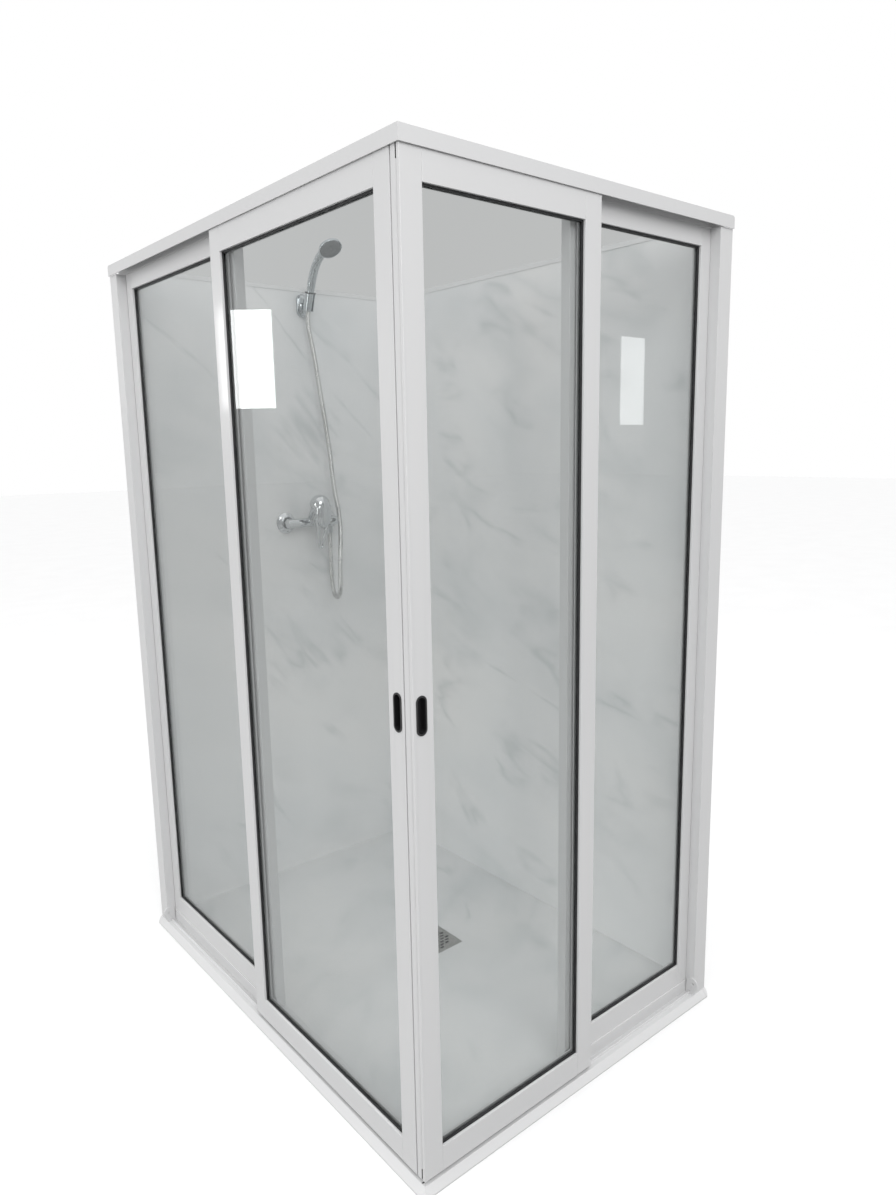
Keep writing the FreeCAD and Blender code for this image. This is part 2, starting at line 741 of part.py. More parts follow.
def track_end_plate(face, length):
    """A moulded plate with a round top that closes the door's track at the foot of the wall profile."""
    name = "track_end_plate_" + face
    start = "(%s - wall_profile_width - end_plate_thickness)" % length
    turn = TO_Y if face == "left" else TO_X
    outline = [("end_plate_depth - end_plate_radius", "end_plate_height"),
               ("-sill_slope_setback", "sill_deck"),
               ("frame_depth", "sill_deck"), ("end_plate_depth + end_plate_radius", "end_plate_height")]
    foot = bar_along(name + "_foot", face, [outline], start, "end_plate_thickness")
    top = cylinder(name + "_top", "end_plate_radius", "end_plate_thickness",
                   on_face(face, start, "end_plate_depth", "end_plate_height"), turn)
    rib = face_box(name + "_rib_notch", face,
                   (start + " - overrun", "end_plate_thickness + 2 * overrun"),
                   ("%s - rib_width / 2 - fit_gap" % TRACK_DEPTH, "rib_width + 2 * fit_gap"),
                   ("sill_deck - overrun", "rib_height + fit_gap + overrun"))
    hole = cylinder(name + "_hole", "end_plate_hole_radius", "end_plate_thickness + 2 * overrun",
                    on_face(face, start + " - overrun", "end_plate_hole_depth", "end_plate_height"),
                    turn)
    return cut(name, fuse(name + "_blank", [foot, top]), [rib, hole])


def cleat(name, low):
    """An angle that joins two mitred bars from inside, one arm in each."""
    start = "%s + cleat_gap" % PANE_FRONT
    outline = [(start, start), (start + " + cleat_length", start),
               (start + " + cleat_length", start + " + cleat_width")]
    outline += [(start + " + cleat_width", start + " + cleat_width"),
                (start + " + cleat_width", start + " + cleat_length")]
    outline += [(start, start + " + cleat_length")]
    return extrusion(name, [outline], "cleat_thickness", ("0", "0", low), UPRIGHT)


def wall_profile(face, length):
    """The upright on the wall: a closed chamber in front and a channel for the fixed pane behind."""
    front = "%s - fit_gap" % PANE_FRONT
    back = "%s + fit_gap" % PANE_BACK
    outline = [("0", "0"), ("wall_profile_width", "0"), ("wall_profile_width", front),
               ("profile_wall", front)]
    outline += [("profile_wall", back), ("wall_profile_width", back), ("wall_profile_width", INNER),
                ("0", INNER)]
    chamber = rectangle("profile_wall", "profile_wall", "wall_profile_width - profile_wall",
                        front + " - profile_wall")
    name = "wall_profile_" + face
    span = "%s - sill_deck" % RAIL_BOTTOM
    if face == "left":
        bar = extrusion(name + "_bar", [outline, chamber], span, ("0", length, "sill_deck"),
                        axes(-AXIS_Y, AXIS_X, AXIS_Z))
    else:
        bar = extrusion(name + "_bar", [outline, chamber], span, (length, "0", RAIL_BOTTOM),
                        axes(-AXIS_X, AXIS_Y, -AXIS_Z))
    notch = face_box(name + "_notch", face, ("%s - wall_profile_width - overrun" % length,
                                              "wall_profile_width + 2 * overrun"),
                     ("frame_depth + riser_gap / 2", "%s + overrun" % PANE_FRONT),
                     ("sill_deck - overrun", "sill_ledge - sill_deck + overrun"))
    rib = face_box(name + "_rib_notch", face, ("%s - wall_profile_width - overrun" % length,
                                               "wall_profile_width + 2 * overrun"),
                   ("%s - rib_width / 2 - fit_gap" % TRACK_DEPTH, "rib_width + 2 * fit_gap"),
                   ("sill_deck - overrun", "rib_height + fit_gap + overrun"))
    holes = []
    turn = TO_Y if face == "left" else TO_X
    for number, height in enumerate(("fixing_end_height", "height / 2", "height - fixing_end_height"),
                                    start=1):
        at = on_face(face, "%s - profile_wall - overrun" % length, "%s + frame_depth / 2" % PANE_FRONT,
                     height)
        holes.append(cylinder("%s_hole_%d" % (name, number), "fixing_hole_radius",
                              "profile_wall + 2 * overrun", at, turn))
    cut(name, bar, [notch, rib] + holes)


def tray():
    """The flat tray: a rim, a basin that falls to the drain, a grate's seat and the waste hole."""
    start = "%s + tray_gap" % INNER
    slab = box("tray_slab", ("right_length - (%s)" % start, "left_length - (%s)" % start, "tray_rim"),
               (start, start, "0"))
    basin = doc.addObject("Part::Wedge", "tray_basin")
    rim = "(angle_leg + panel_thickness + angle_thickness)"
    spans = {
        "Xmin": "%s + tray_rim_width" % start, "Xmax": "right_length - %s" % rim,
        "Zmin": "%s + tray_rim_width" % start, "Zmax": "left_length - %s" % rim,
        "X2min": "drain_right - grate_size / 2", "X2max": "drain_right + grate_size / 2",
        "Z2min": "drain_left - grate_size / 2", "Z2max": "drain_left + grate_size / 2",
        "Ymin": "0", "Ymax": "basin_depth",
    }
    for side, value in spans.items():
        basin.setExpression(side, bound(value))
    place(basin, ("0", "0", "tray_rim"), axes(AXIS_X, -AXIS_Z, AXIS_Y))
    seat_side = "(grate_size + 2 * grate_gap)"
    seat_depth = "(grate_thickness + waste_flange)"
    seat = box("tray_grate_seat", (seat_side, seat_side, seat_depth),
               ("drain_right - %s / 2" % seat_side, "drain_left - %s / 2" % seat_side,
                "%s - %s" % (BASIN_BOTTOM, seat_depth)))
    hole = cylinder("tray_waste_hole", "waste_hole_radius", "tray_rim + 2 * overrun",
                    ("drain_right", "drain_left", "-overrun"))
    cut("shower_tray", slab, [basin, seat, hole])


def drain():
    """The waste under the grate: a flanged dish with the outlet that a trap's pipe fits."""
    flange_low = "(%s - grate_thickness - waste_flange)" % BASIN_BOTTOM
    dish_radius = "(waste_hole_radius - waste_gap)"
    centre = ("drain_right", "drain_left")
    flange = box("waste_flange_plate", ("grate_size", "grate_size", "waste_flange"),
                 ("drain_right - grate_size / 2", "drain_left - grate_size / 2", flange_low))
    dish = cylinder("waste_dish", dish_radius, "%s - waste_floor" % flange_low,
                    centre + ("waste_floor",))
    spigot = cylinder("waste_spigot", "outlet_radius + outlet_wall", "waste_floor + waste_wall",
                      centre + ("0",))
    hollow = cylinder("waste_hollow", "%s - waste_wall" % dish_radius, "%s" % BASIN_BOTTOM,
                      centre + ("waste_floor + waste_wall",))
    bore = cylinder("waste_bore", "outlet_radius", "%s + overrun" % BASIN_BOTTOM,
                    centre + ("-overrun",))
    cut("waste_body", fuse("waste_blank", [flange, dish, spigot]), [hollow, bore])
    plate = box("grate_plate", ("grate_size", "grate_size", "grate_thickness"),
                ("drain_right - grate_size / 2", "drain_left - grate_size / 2",
                 "%s - grate_thickness" % BASIN_BOTTOM))
    slots = []
    rows = int(size("grate_pattern_radius") / size("grate_row_step"))
    for line in range(-rows, rows + 1):
        half_steps = range(-2 * rows + line % 2, 2 * rows + 1, 2)
        for half_step in half_steps:
            across = abs(half_step) * size("grate_slot_step") / 2 + size("grate_slot_length") / 2
            along = abs(line) * size("grate_row_step") + size("grate_slot_width") / 2
            if math.hypot(across, along) > size("grate_pattern_radius"):
                continue
            at = ("drain_right + %d * grate_slot_step / 2 - grate_slot_length / 2" % half_step,
                  "drain_left + %d * grate_row_step - grate_slot_width / 2" % line,
                  "%s - grate_thickness - overrun" % BASIN_BOTTOM)
            span = ("grate_slot_length", "grate_slot_width", "grate_thickness + 2 * overrun")
            slots.append(box("grate_slot_%d" % len(slots), span, at))
    cut("drain_grate", plate, slots)


def back_panels():
    """The two back panels, the angle in their corner and the trims along their tops."""
    start = "%s + panel_gap" % INNER
    panel_top = "height - trim_thickness"
    panel_height = "%s - tray_rim" % panel_top
    sheet_panel = box("mixer_panel_sheet",
                      ("right_length - (%s)" % start, "panel_thickness", panel_height),
                      (start, PANEL_LEFT, "tray_rim"))
    holes = []
    for side, sign in (("cold", "+"), ("hot", "-")):
        holes.append(cylinder("mixer_panel_hole_" + side,
                              "inlet_radius + inlet_shoulder + inlet_hole_gap",
                              "panel_thickness + 2 * overrun",
                              ("mixer_right %s inlet_spacing / 2" % sign, "%s - overrun" % PANEL_LEFT,
                               "mixer_height"),
                              TO_Y))
    cut("wall_panel_mixer", sheet_panel, holes)
    box("wall_panel_side", ("panel_thickness", "%s - trim_thickness - (%s)" % (PANEL_LEFT, start),
                            panel_height),
        (PANEL_RIGHT, start, "tray_rim"))
    angle = [("0", "0"), ("angle_leg", "0"), ("angle_leg", "angle_thickness"),
             ("angle_thickness", "angle_thickness")]
    angle += [("angle_thickness", "angle_leg"), ("0", "angle_leg")]
    extrusion("rear_corner_angle", [angle], "height - trim_drop - tray_gap - tray_rim",
              (PANEL_RIGHT, PANEL_LEFT, "tray_rim"), axes(-AXIS_X, -AXIS_Y, AXIS_Z))
    cap = [("0", "trim_drop - trim_thickness"), ("panel_thickness", "trim_drop - trim_thickness"),
           ("panel_thickness", "0"), ("panel_thickness + trim_thickness", "0"),
           ("panel_thickness + trim_thickness", "trim_drop"), ("0", "trim_drop")]
    low = "height - trim_drop"
    mixer_trim = extrusion("panel_trim_mixer", [cap], "right_length - (%s)" % start,
                           ("right_length", "left_length", low), axes(-AXIS_Y, AXIS_Z, -AXIS_X))
    side_length = "%s - trim_thickness - (%s)" % (PANEL_LEFT, start)
    side_trim = extrusion("panel_trim_side", [cap], side_length, ("right_length", start, low),
                          axes(-AXIS_X, AXIS_Z, AXIS_Y))
    group("panel_top_trims", [mixer_trim, side_trim])


# how the mixer's housing and the hand shower's holder lean
HOUSING_ANGLE = math.radians(size("housing_tilt"))
HOUSING_TURN = FreeCAD.Rotation(AXIS_X, size("housing_tilt"))
HOLDER_ANGLE = math.radians(size("holder_tilt"))
HOLDER_TURN = FreeCAD.Rotation(AXIS_X, size("holder_tilt"))
HOLDER_SINE = math.sin(HOLDER_ANGLE)
HOLDER_COSINE = math.cos(HOLDER_ANGLE)
HOLDER_UP = FreeCAD.Vector(0, -HOLDER_SINE, HOLDER_COSINE)
HOLDER_OUT = FreeCAD.Vector(0, -HOLDER_COSINE, -HOLDER_SINE)


def up_the_housing(reach, across="0", over="0"):
    """A place on the mixer's leaning housing: up its axis, across it, and over at right angles."""
    return ("mixer_right + %s" % across,
            "%s - (%s) * sin(housing_tilt) + (%s) * cos(housing_tilt)" % (BODY_Y, reach, over),
            "mixer_height + (%s) * cos(housing_tilt) + (%s) * sin(housing_tilt)" % (reach, over))


def in_the_holder(out, up, across="0"):
    """A place in the leaning holder: out from its pivot, up its axis, and across."""
    return ("bracket_right + %s" % across,
            "%s - (%s) * cos(holder_tilt) - (%s) * sin(holder_tilt)" % (PIVOT_Y, out, up),
            "%s - (%s) * sin(holder_tilt) + (%s) * cos(holder_tilt)" % (PIVOT_Z, out, up))


def holder_direction(*angles):
    """The rotation of a round bar that leans on from the holder by the given angles."""
    return FreeCAD.Rotation(AXIS_X, size("holder_tilt") + sum(size(alias) for alias in angles))


def mixer():
    """The wall mixer: two unions with covers, the body, its spindle and the hose's nut."""
    unions = []
    covers = []
    bosses = []
    for side, sign in (("hot", "-"), ("cold", "+")):
        x = "mixer_right %s inlet_spacing / 2" % sign
        bosses.append(cylinder("mixer_boss_" + side, "union_nut_radius", "boss_length",
                               (x, BODY_Y, "mixer_height"), TO_Y))
        nut = cylinder("union_nut_" + side, "union_nut_radius", "union_nut_length",
                       (x, BODY_Y + " + boss_length", "mixer_height"), TO_Y)
        stem = cylinder("union_stem_" + side, "inlet_radius + inlet_shoulder",
                        "mixer_reach - boss_length + panel_thickness",
                        (x, BODY_Y + " + boss_length", "mixer_height"),
                        TO_Y)
        stub = cylinder("union_stub_" + side, "inlet_radius", "inlet_stub",
                        (x, "left_length", "mixer_height"), TO_Y)
        unions.append(fuse("union_" + side, [nut, stem, stub]))
        blank = cone("escutcheon_blank_" + side, "escutcheon_radius", "escutcheon_top_radius",
                     "escutcheon_depth",
                     (x, PANEL_LEFT, "mixer_height"), TO_MINUS_Y)
        hole = cylinder("escutcheon_hole_" + side, "inlet_radius + inlet_shoulder + pin_running_gap",
                        "escutcheon_depth + 2 * overrun",
                        (x, PANEL_LEFT + " + overrun", "mixer_height"), TO_MINUS_Y)
        room = cylinder("escutcheon_room_" + side, "union_nut_radius + fit_gap",
                        "escutcheon_depth + overrun",
                        (x, PANEL_LEFT + " - escutcheon_face", "mixer_height"), TO_MINUS_Y)
        covers.append(cut("escutcheon_" + side, blank, [hole, room]))
    group("mixer_unions", unions)
    group("mixer_escutcheons", covers)
    barrel = cylinder("mixer_barrel", "barrel_radius", "inlet_spacing + 2 * barrel_end",
                      ("mixer_right - inlet_spacing / 2 - barrel_end", BODY_Y, "mixer_height"), TO_X)
    housing = cylinder("mixer_housing", "housing_radius", "housing_length", up_the_housing("0"),
                       HOUSING_TURN)
    nipple = cylinder("mixer_nipple", "nipple_radius", "barrel_radius + nipple_length",
                      (OUTLET_X, BODY_Y, "mixer_height - barrel_radius - nipple_length"))
    seat = "housing_length - spindle_seat"
    bore = cylinder("mixer_spindle_bore", "spindle_radius + spindle_running_gap",
                    "spindle_seat + overrun",
                    up_the_housing(seat), HOUSING_TURN)
    cut("mixer_body", fuse("mixer_blank", bosses + [barrel, housing, nipple]), [bore])
    spindle = cylinder("spindle_disc", "spindle_radius", "spindle_seat + fit_gap",
                       up_the_housing(seat + " + spindle_running_gap"), HOUSING_TURN)
    tongue = box("spindle_tongue", ("spindle_tongue_width", "spindle_tongue_depth",
                                    "dome_offset + spindle_tongue_top - housing_length"),
                 up_the_housing("housing_length", "-spindle_tongue_width / 2",
                                "-spindle_tongue_depth / 2"),
                 turn=HOUSING_TURN)
    pin = cylinder("spindle_pin", "lever_pin_radius", "2 * lever_pin_half",
                   up_the_housing("dome_offset", "-lever_pin_half"), TO_X)
    fuse("mixer_spindle", [spindle, tongue, pin])
    nut_top = "mixer_height - barrel_radius - nipple_gap"
    nut_blank = cylinder("hose_mixer_nut_blank", "hose_nut_radius", "hose_nut_length",
                         (OUTLET_X, BODY_Y, nut_top + " - hose_nut_length"))
    nut_bore = cylinder("hose_mixer_nut_bore", "nipple_radius + pin_running_gap",
                        "nipple_length - nipple_gap + fit_gap + overrun",
                        (OUTLET_X, BODY_Y, nut_top + " - nipple_length + nipple_gap - fit_gap"))
    cut("hose_mixer_nut", nut_blank, [nut_bore])


def lever():
    """The dome that turns and lifts on the spindle's cross pin, with the loop that hangs from it."""
    centre = up_the_housing("dome_offset")
    lean = math.radians(size("lever_lean"))
    flare = math.radians(size("lever_flare"))
    down = FreeCAD.Vector(0, -math.sin(lean), -math.cos(lean))
    back = AXIS_X.cross(down)

    def down_the_lever(across, reach):
        return ("%s + %s" % (centre[0], across),
                "%s - lever_forward - (%s) * sin(lever_lean)" % (centre[1], reach),
                "%s - (%s) * cos(lever_lean)" % (centre[2], reach))

    behind = cylinder("dome_behind", "dome_radius + overrun", "dome_radius + overrun",
                      up_the_housing("dome_offset - dome_skirt - dome_radius - overrun"), HOUSING_TURN)
    dome = cut("dome_outside", sphere("dome_ball", "dome_radius", centre), [behind])
    bars = []
    foot = "lever_length + lever_tip_radius * sin(lever_flare)"
    bar_length = "(%s - lever_bar_start) / cos(lever_flare)" % foot
    spread = "lever_tip_radius * cos(lever_flare)"
    for side, sign in (("hot", -1), ("cold", 1)):
        up = FreeCAD.Vector(sign * math.sin(flare), 0, 0) - down * math.cos(flare)
        at = down_the_lever("%d * %s" % (sign, spread), foot)
        top = down_the_lever("%d * (%s + %s * sin(lever_flare))" % (sign, spread, bar_length),
                             "lever_bar_start")
        bars.append(cylinder("lever_bar_" + side, "lever_bar_radius", bar_length, at,
                             axes(back.cross(up), back, up)))
        bars.append(sphere("lever_bar_end_" + side, "lever_bar_radius", top))
    tip = doc.addObject("Part::Torus", "lever_tip")
    tip.setExpression("Radius1", bound("lever_tip_radius"))
    tip.setExpression("Radius2", bound("lever_bar_radius"))
    tip.setExpression("Angle3", bound("half_circle - 2 * lever_flare"))
    from_side = AXIS_X * math.cos(flare) + down * math.sin(flare)
    place(tip, down_the_lever("0", "lever_length"), axes(from_side, back.cross(from_side), back))
    inside = "(dome_radius - dome_wall)"
    room = sphere("dome_inside", inside, centre)
    shell = cut("dome_shell", fuse("dome_blank", [dome] + bars + [tip]), [room])
    reach = "spindle_tongue_width / 2 + lever_lug_gap"
    lugs = []
    for side, start in (("hot", "-%s" % inside), ("cold", reach)):
        lugs.append(cylinder("lever_lug_" + side, "lever_lug_radius", "%s - (%s)" % (inside, reach),
                             up_the_housing("dome_offset", start), TO_X))
    bore = cylinder("lever_pin_bore", "lever_pin_radius + pin_running_gap",
                    "2 * lever_pin_half + 2 * fit_gap",
                    up_the_housing("dome_offset", "-lever_pin_half - fit_gap"), TO_X)
    lug_pieces = [cut("lever_lug_bored_" + side, lug, [copy])
                  for side, lug, copy in zip(("hot", "cold"), lugs, (bore, bore))]
    fuse("mixer_lever", [shell] + lug_pieces)


def bracket():
    """The wall plate with two ears and a pin, and the cup that tilts on it."""
    plate_low = PIVOT_Z + " - bracket_plate_drop - bracket_plate_height / 2"
    straight = "bracket_plate_height - bracket_plate_width"
    plate = [box("bracket_plate_block", ("bracket_plate_width", "bracket_plate_depth", straight),
                 ("bracket_right - bracket_plate_width / 2", PANEL_LEFT + " - bracket_plate_depth",
                  plate_low + " + bracket_plate_width / 2"))]
    for end_name, height in (("low", plate_low + " + bracket_plate_width / 2"),
                             ("top", plate_low + " + bracket_plate_height - bracket_plate_width / 2")):
        plate.append(cylinder("bracket_plate_" + end_name, "bracket_plate_width / 2",
                              "bracket_plate_depth",
                              ("bracket_right", PANEL_LEFT, height), TO_MINUS_Y))
    inner = "(knuckle_width / 2 + knuckle_gap)"
    for side, start in (("near", "-%s - ear_thickness" % inner), ("far", inner)):
        x = "bracket_right + %s" % start
        plate.append(box("bracket_ear_" + side,
                         ("ear_thickness", "bracket_reach - bracket_plate_depth / 2",
                                                 "2 * ear_radius"),
                         (x, PIVOT_Y, PIVOT_Z + " - ear_radius")))
        plate.append(cylinder("bracket_ear_end_" + side, "ear_radius", "ear_thickness",
                              (x, PIVOT_Y, PIVOT_Z), TO_X))
    plate.append(cylinder("bracket_pin", "knuckle_pin_radius", "2 * %s" % inner,
                          ("bracket_right - %s" % inner, PIVOT_Y, PIVOT_Z), TO_X))
    fuse("bracket_plate", plate)
    cup_radius = "(cone_top_radius + cone_gap + cup_wall)"
    cup = cylinder("cup_blank", cup_radius, "cup_length", in_the_holder("cup_reach", "-cup_length / 2"),
                   HOLDER_TURN)
    knuckle = cylinder("cup_knuckle", "knuckle_radius", "knuckle_width",
                       ("bracket_right - knuckle_width / 2", PIVOT_Y, PIVOT_Z), TO_X)
    arm = box("cup_arm", ("knuckle_width", "cup_reach", "2 * knuckle_radius"),
              in_the_holder("cup_reach", "-knuckle_radius", "-knuckle_width / 2"), turn=HOLDER_TURN)
    hole = cone("cup_hole", "cone_low_radius + cone_gap", "cone_top_radius + cone_gap", "cup_length",
                in_the_holder("cup_reach", "-cup_length / 2"), HOLDER_TURN)
    slot = box("cup_slot", ("cup_slot", "%s + overrun" % cup_radius, "cup_length + 2 * overrun"),
               in_the_holder("cup_reach + %s + overrun" % cup_radius, "-cup_length / 2 - overrun",
                             "-cup_slot / 2"),
               turn=HOLDER_TURN)
    pin_bore = cylinder("cup_pin_bore", "knuckle_pin_radius + pin_running_gap",
                        "knuckle_width + 2 * overrun",
                        ("bracket_right - knuckle_width / 2 - overrun", PIVOT_Y, PIVOT_Z), TO_X)
    cut("bracket_cradle", fuse("bracket_cradle_blank", [cup, knuckle, arm]), [hole, slot, pin_bore])


def hand_shower():
    """The cone nut in the cup, the bent handle above it, and the round head with its spray face."""
    nut = [cone("cone_nut_taper", "cone_low_radius", "cone_top_radius", "cup_length",
                in_the_holder("cup_reach", "-cup_length / 2"), HOLDER_TURN),
           cylinder("cone_nut_collar", "cone_top_radius", "cone_rise",
                    in_the_holder("cup_reach", "cup_length / 2"), HOLDER_TURN)]
    fuse("hose_cone_nut", nut)
    foot = "cup_length / 2 + cone_rise"
    straight = cone("handset_grip", "handset_low_radius", "handset_top_radius", "handset_straight",
                    in_the_holder("cup_reach", foot), HOLDER_TURN)
    bend_start = foot + " + handset_straight"
    bend = doc.addObject("Part::Torus", "handset_bend_tube")
    bend.setExpression("Radius1", bound("handset_bend_radius"))
    bend.setExpression("Radius2", bound("handset_top_radius"))
    bend.setExpression("Angle3", bound("handset_bend"))
    place(bend, in_the_holder("cup_reach + handset_bend_radius", bend_start),
          axes(-HOLDER_OUT, HOLDER_UP, AXIS_X))
    end_out = "cup_reach + handset_bend_radius - handset_bend_radius * cos(handset_bend)"
    end_up = bend_start + " + handset_bend_radius * sin(handset_bend)"
    bend_turn = holder_direction("handset_bend")
    head_turn = holder_direction("handset_bend", "head_nod")
    neck = cylinder("handset_neck_bar", "handset_top_radius", "handset_neck",
                    in_the_holder(end_out, end_up), bend_turn)
    neck_out = end_out + " + handset_neck * sin(handset_bend)"
    neck_up = end_up + " + handset_neck * cos(handset_bend)"
    ball = sphere("handset_ball", "handset_top_radius", in_the_holder(neck_out, neck_up))

    def head_at(reach):
        return in_the_holder("%s + (%s) * sin(handset_bend + head_nod)" % (neck_out, reach),
                             "%s + (%s) * cos(handset_bend + head_nod)" % (neck_up, reach))

    back = cone("head_back", "head_back_radius", "head_radius", "head_back_depth", head_at("0"),
                head_turn)
    rim = cylinder("head_rim", "head_radius", "head_rim_depth", head_at("head_back_depth"), head_turn)
    depth = "head_back_depth + head_rim_depth"
    recess = cylinder("head_recess", "spray_radius + spray_gap", "spray_depth + overrun",
                      head_at(depth + " - spray_depth"), head_turn)
    cut("hand_shower", fuse("hand_shower_blank", [straight, bend, neck, ball, back, rim]), [recess])
    cylinder("hand_shower_spray", "spray_radius", "spray_depth + spray_proud",
             head_at(depth + " - spray_depth"),
             head_turn)


# corners of the hose's route, counted from its end at the mixer and from its end in the holder,
# where it leaves along the holder's axis
HOSE_TOP_RUN = size("hose_top_run")
HOSE_FROM_MIXER = [
    (0, 0, -74),
    (2, 1, -198),
    (-28, -92, -198),
    (-28, -95, -98),
    (26, -27, 33),
    (14, -13, 132),
]
HOSE_FROM_HOLDER = [
    (51, -4, -398),
    (32, -1, -258),
    (10, -1, -108),
    (0, HOLDER_SINE * HOSE_TOP_RUN, -HOLDER_COSINE * HOSE_TOP_RUN),
]


def corner_arc(before, corner, after, share):
    """The straight ends and the arc that round one corner of a route."""
    run = share * min((before - corner).Length, (after - corner).Length)
    towards = (before - corner).normalize()
    away = (after - corner).normalize()
    start = corner + towards * run
    end = corner + away * run
    half_turn = (math.pi - towards.getAngle(away)) / 2
    radius = run / math.tan(half_turn)
    middle_way = (towards + away).normalize()
    middle = corner + middle_way * (math.hypot(run, radius) - radius)
    return start, middle, end, radius


def hose():
    """The flexible hose as a tube along straight runs and tangent arcs."""
    start = FreeCAD.Vector(*[size_of(value) for value in (
        OUTLET_X, BODY_Y,
        "mixer_height - barrel_radius - nipple_gap - hose_nut_length - hose_end_gap")])
    end = FreeCAD.Vector(*[size_of(value) for value in in_the_holder("cup_reach",
                                                                     "-cup_length / 2 - hose_end_gap")])
    route = [start]
    route += [start + FreeCAD.Vector(*offset) for offset in HOSE_FROM_MIXER]
    route += [end + FreeCAD.Vector(*offset) for offset in HOSE_FROM_HOLDER]
    route.append(end)
    edges = []
    here = start
    share = size("hose_run_share")
    for before, corner, after in zip(route, route[1:], route[2:]):
        arc_start, arc_middle, arc_end, radius = corner_arc(before, corner, after, share)
        print("hose corner", [round(value) for value in corner], "radius", round(radius, 1))
        edges.append(Part.LineSegment(here, arc_start).toShape())
        edges.append(Part.Arc(arc_start, arc_middle, arc_end).toShape())
        here = arc_end
    edges.append(Part.LineSegment(here, end).toShape())
    spine = Part.Wire(edges)
    heading = route[1] - route[0]
    tubes = []
    for alias in ("hose_radius", "hose_bore_radius"):
        ring = Part.Wire(Part.makeCircle(size(alias), start, heading))
        tubes.append(spine.makePipeShell([ring], True, False))
    hose_tube = doc.addObject("Part::Feature", "shower_hose")
    hose_tube.Shape = tubes[0].cut(tubes[1])
    shift = FreeCAD.Vector(size_of(CORNER_X), size_of(CORNER_Y), 0)
    hose_tube.Placement = FreeCAD.Placement(shift, UPRIGHT)
    section = math.pi * (size("hose_radius") ** 2 - size("hose_bore_radius") ** 2)
    print("hose length", round(spine.Length), "volume share",
          round(hose_tube.Shape.Volume / section / spine.Length, 4))


tray()
drain()
back_panels()
for face, length in (("left", "left_length"), ("right", "right_length")):
    rail(face, length)
    sill(face, length)
    wall_profile(face, length)
group("sill_end_caps", [sill_end_cap("left", "left_length"), sill_end_cap("right", "right_length")])
group("track_end_plates", [track_end_plate("left", "left_length"),
                           track_end_plate("right", "right_length")])
group("corner_cleats", [cleat("corner_cleat_rail", "height - rail_wall - cleat_thickness - cleat_gap"),
                        cleat("corner_cleat_sill", "sill_wall + cleat_gap")])
door("left", DOOR_LEFT_START, "door_left_width", True)
door("right", "0", "door_right_width", False)
fixed_pane("left", "(%s + door_left_width - pane_overlap)" % DOOR_LEFT_START,
           "(left_length - wall_profile_width + left_insert)")
fixed_pane("right", "(door_right_width - pane_overlap)",
           "(right_length - wall_profile_width + right_insert)")
mixer()
lever()
bracket()
hand_shower()
doc.recompute()
hose()
doc.recompute()

NODES = [
    "shower_tray", "waste_body", "drain_grate", "wall_panel_mixer", "wall_panel_side",
    "rear_corner_angle", "panel_top_trims", "sill_end_caps", "track_end_plates", "corner_cleats",
    "mixer_body", "mixer_unions", "mixer_escutcheons", "mixer_spindle", "mixer_lever",
    "hose_mixer_nut", "shower_hose", "hose_cone_nut", "hand_shower", "hand_shower_spray",
    "bracket_plate", "bracket_cradle",
]
FACE_NODES = [
    "top_rail_{}", "sill_{}", "wall_profile_{}", "fixed_{}_stiles", "fixed_{}_bars",
    "fixed_{}_glass", "fixed_{}_gasket", "door_{}_lead_stile", "door_{}_trail_stile",
    "door_{}_top_bar", "door_{}_bottom_bar", "door_{}_glass", "door_{}_gasket",
    "door_{}_handle", "door_{}_magnet_seal", "door_{}_top_guides", "door_{}_roller_carriages",
    "door_{}_roller_front", "door_{}_roller_rear",
]
NODES += [pattern.format(face) for face in ("left", "right") for pattern in FACE_NODES]

faults = [item.Name for item in doc.Objects if "Invalid" in item.State or "Error" in item.State]
if faults:
    raise RuntimeError("objects with faults: %s" % ", ".join(faults))
os.makedirs("parts", exist_ok=True)
for name in NODES:
    node = doc.getObject(name)
    shape = node.Shape
    if shape.isNull() or not shape.isValid():
        raise RuntimeError("no valid shape: " + name)
    node.Label = name
    shape.exportStep("parts/%s.step" % name)
    print(name, len(shape.Solids), "solids", round(shape.Volume), "mm3")
print(len(NODES), "nodes")
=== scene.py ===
import json
import math

import bmesh
import bpy
from mathutils import Matrix, Vector


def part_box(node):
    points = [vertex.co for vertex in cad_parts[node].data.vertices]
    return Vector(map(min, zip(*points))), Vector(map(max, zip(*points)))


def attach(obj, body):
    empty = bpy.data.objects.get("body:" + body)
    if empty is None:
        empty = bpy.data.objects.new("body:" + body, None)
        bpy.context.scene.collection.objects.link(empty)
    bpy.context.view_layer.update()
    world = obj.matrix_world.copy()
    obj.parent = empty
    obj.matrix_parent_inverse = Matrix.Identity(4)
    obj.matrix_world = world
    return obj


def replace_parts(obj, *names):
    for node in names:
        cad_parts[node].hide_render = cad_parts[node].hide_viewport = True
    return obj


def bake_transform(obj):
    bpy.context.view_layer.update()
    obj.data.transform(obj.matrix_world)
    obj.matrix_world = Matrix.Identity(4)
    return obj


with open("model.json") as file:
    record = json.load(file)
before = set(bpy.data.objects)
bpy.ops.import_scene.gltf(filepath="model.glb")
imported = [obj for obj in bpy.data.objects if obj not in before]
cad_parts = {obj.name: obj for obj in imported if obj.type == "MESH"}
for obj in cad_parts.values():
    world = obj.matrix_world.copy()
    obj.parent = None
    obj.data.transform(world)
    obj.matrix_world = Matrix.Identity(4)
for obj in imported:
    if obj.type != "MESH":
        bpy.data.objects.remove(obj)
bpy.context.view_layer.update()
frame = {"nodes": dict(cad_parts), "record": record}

MM = 0.001
# the front corner of the doors' outer planes at floor level, in metres
CORNER = Vector((-0.443, -0.628, 0))

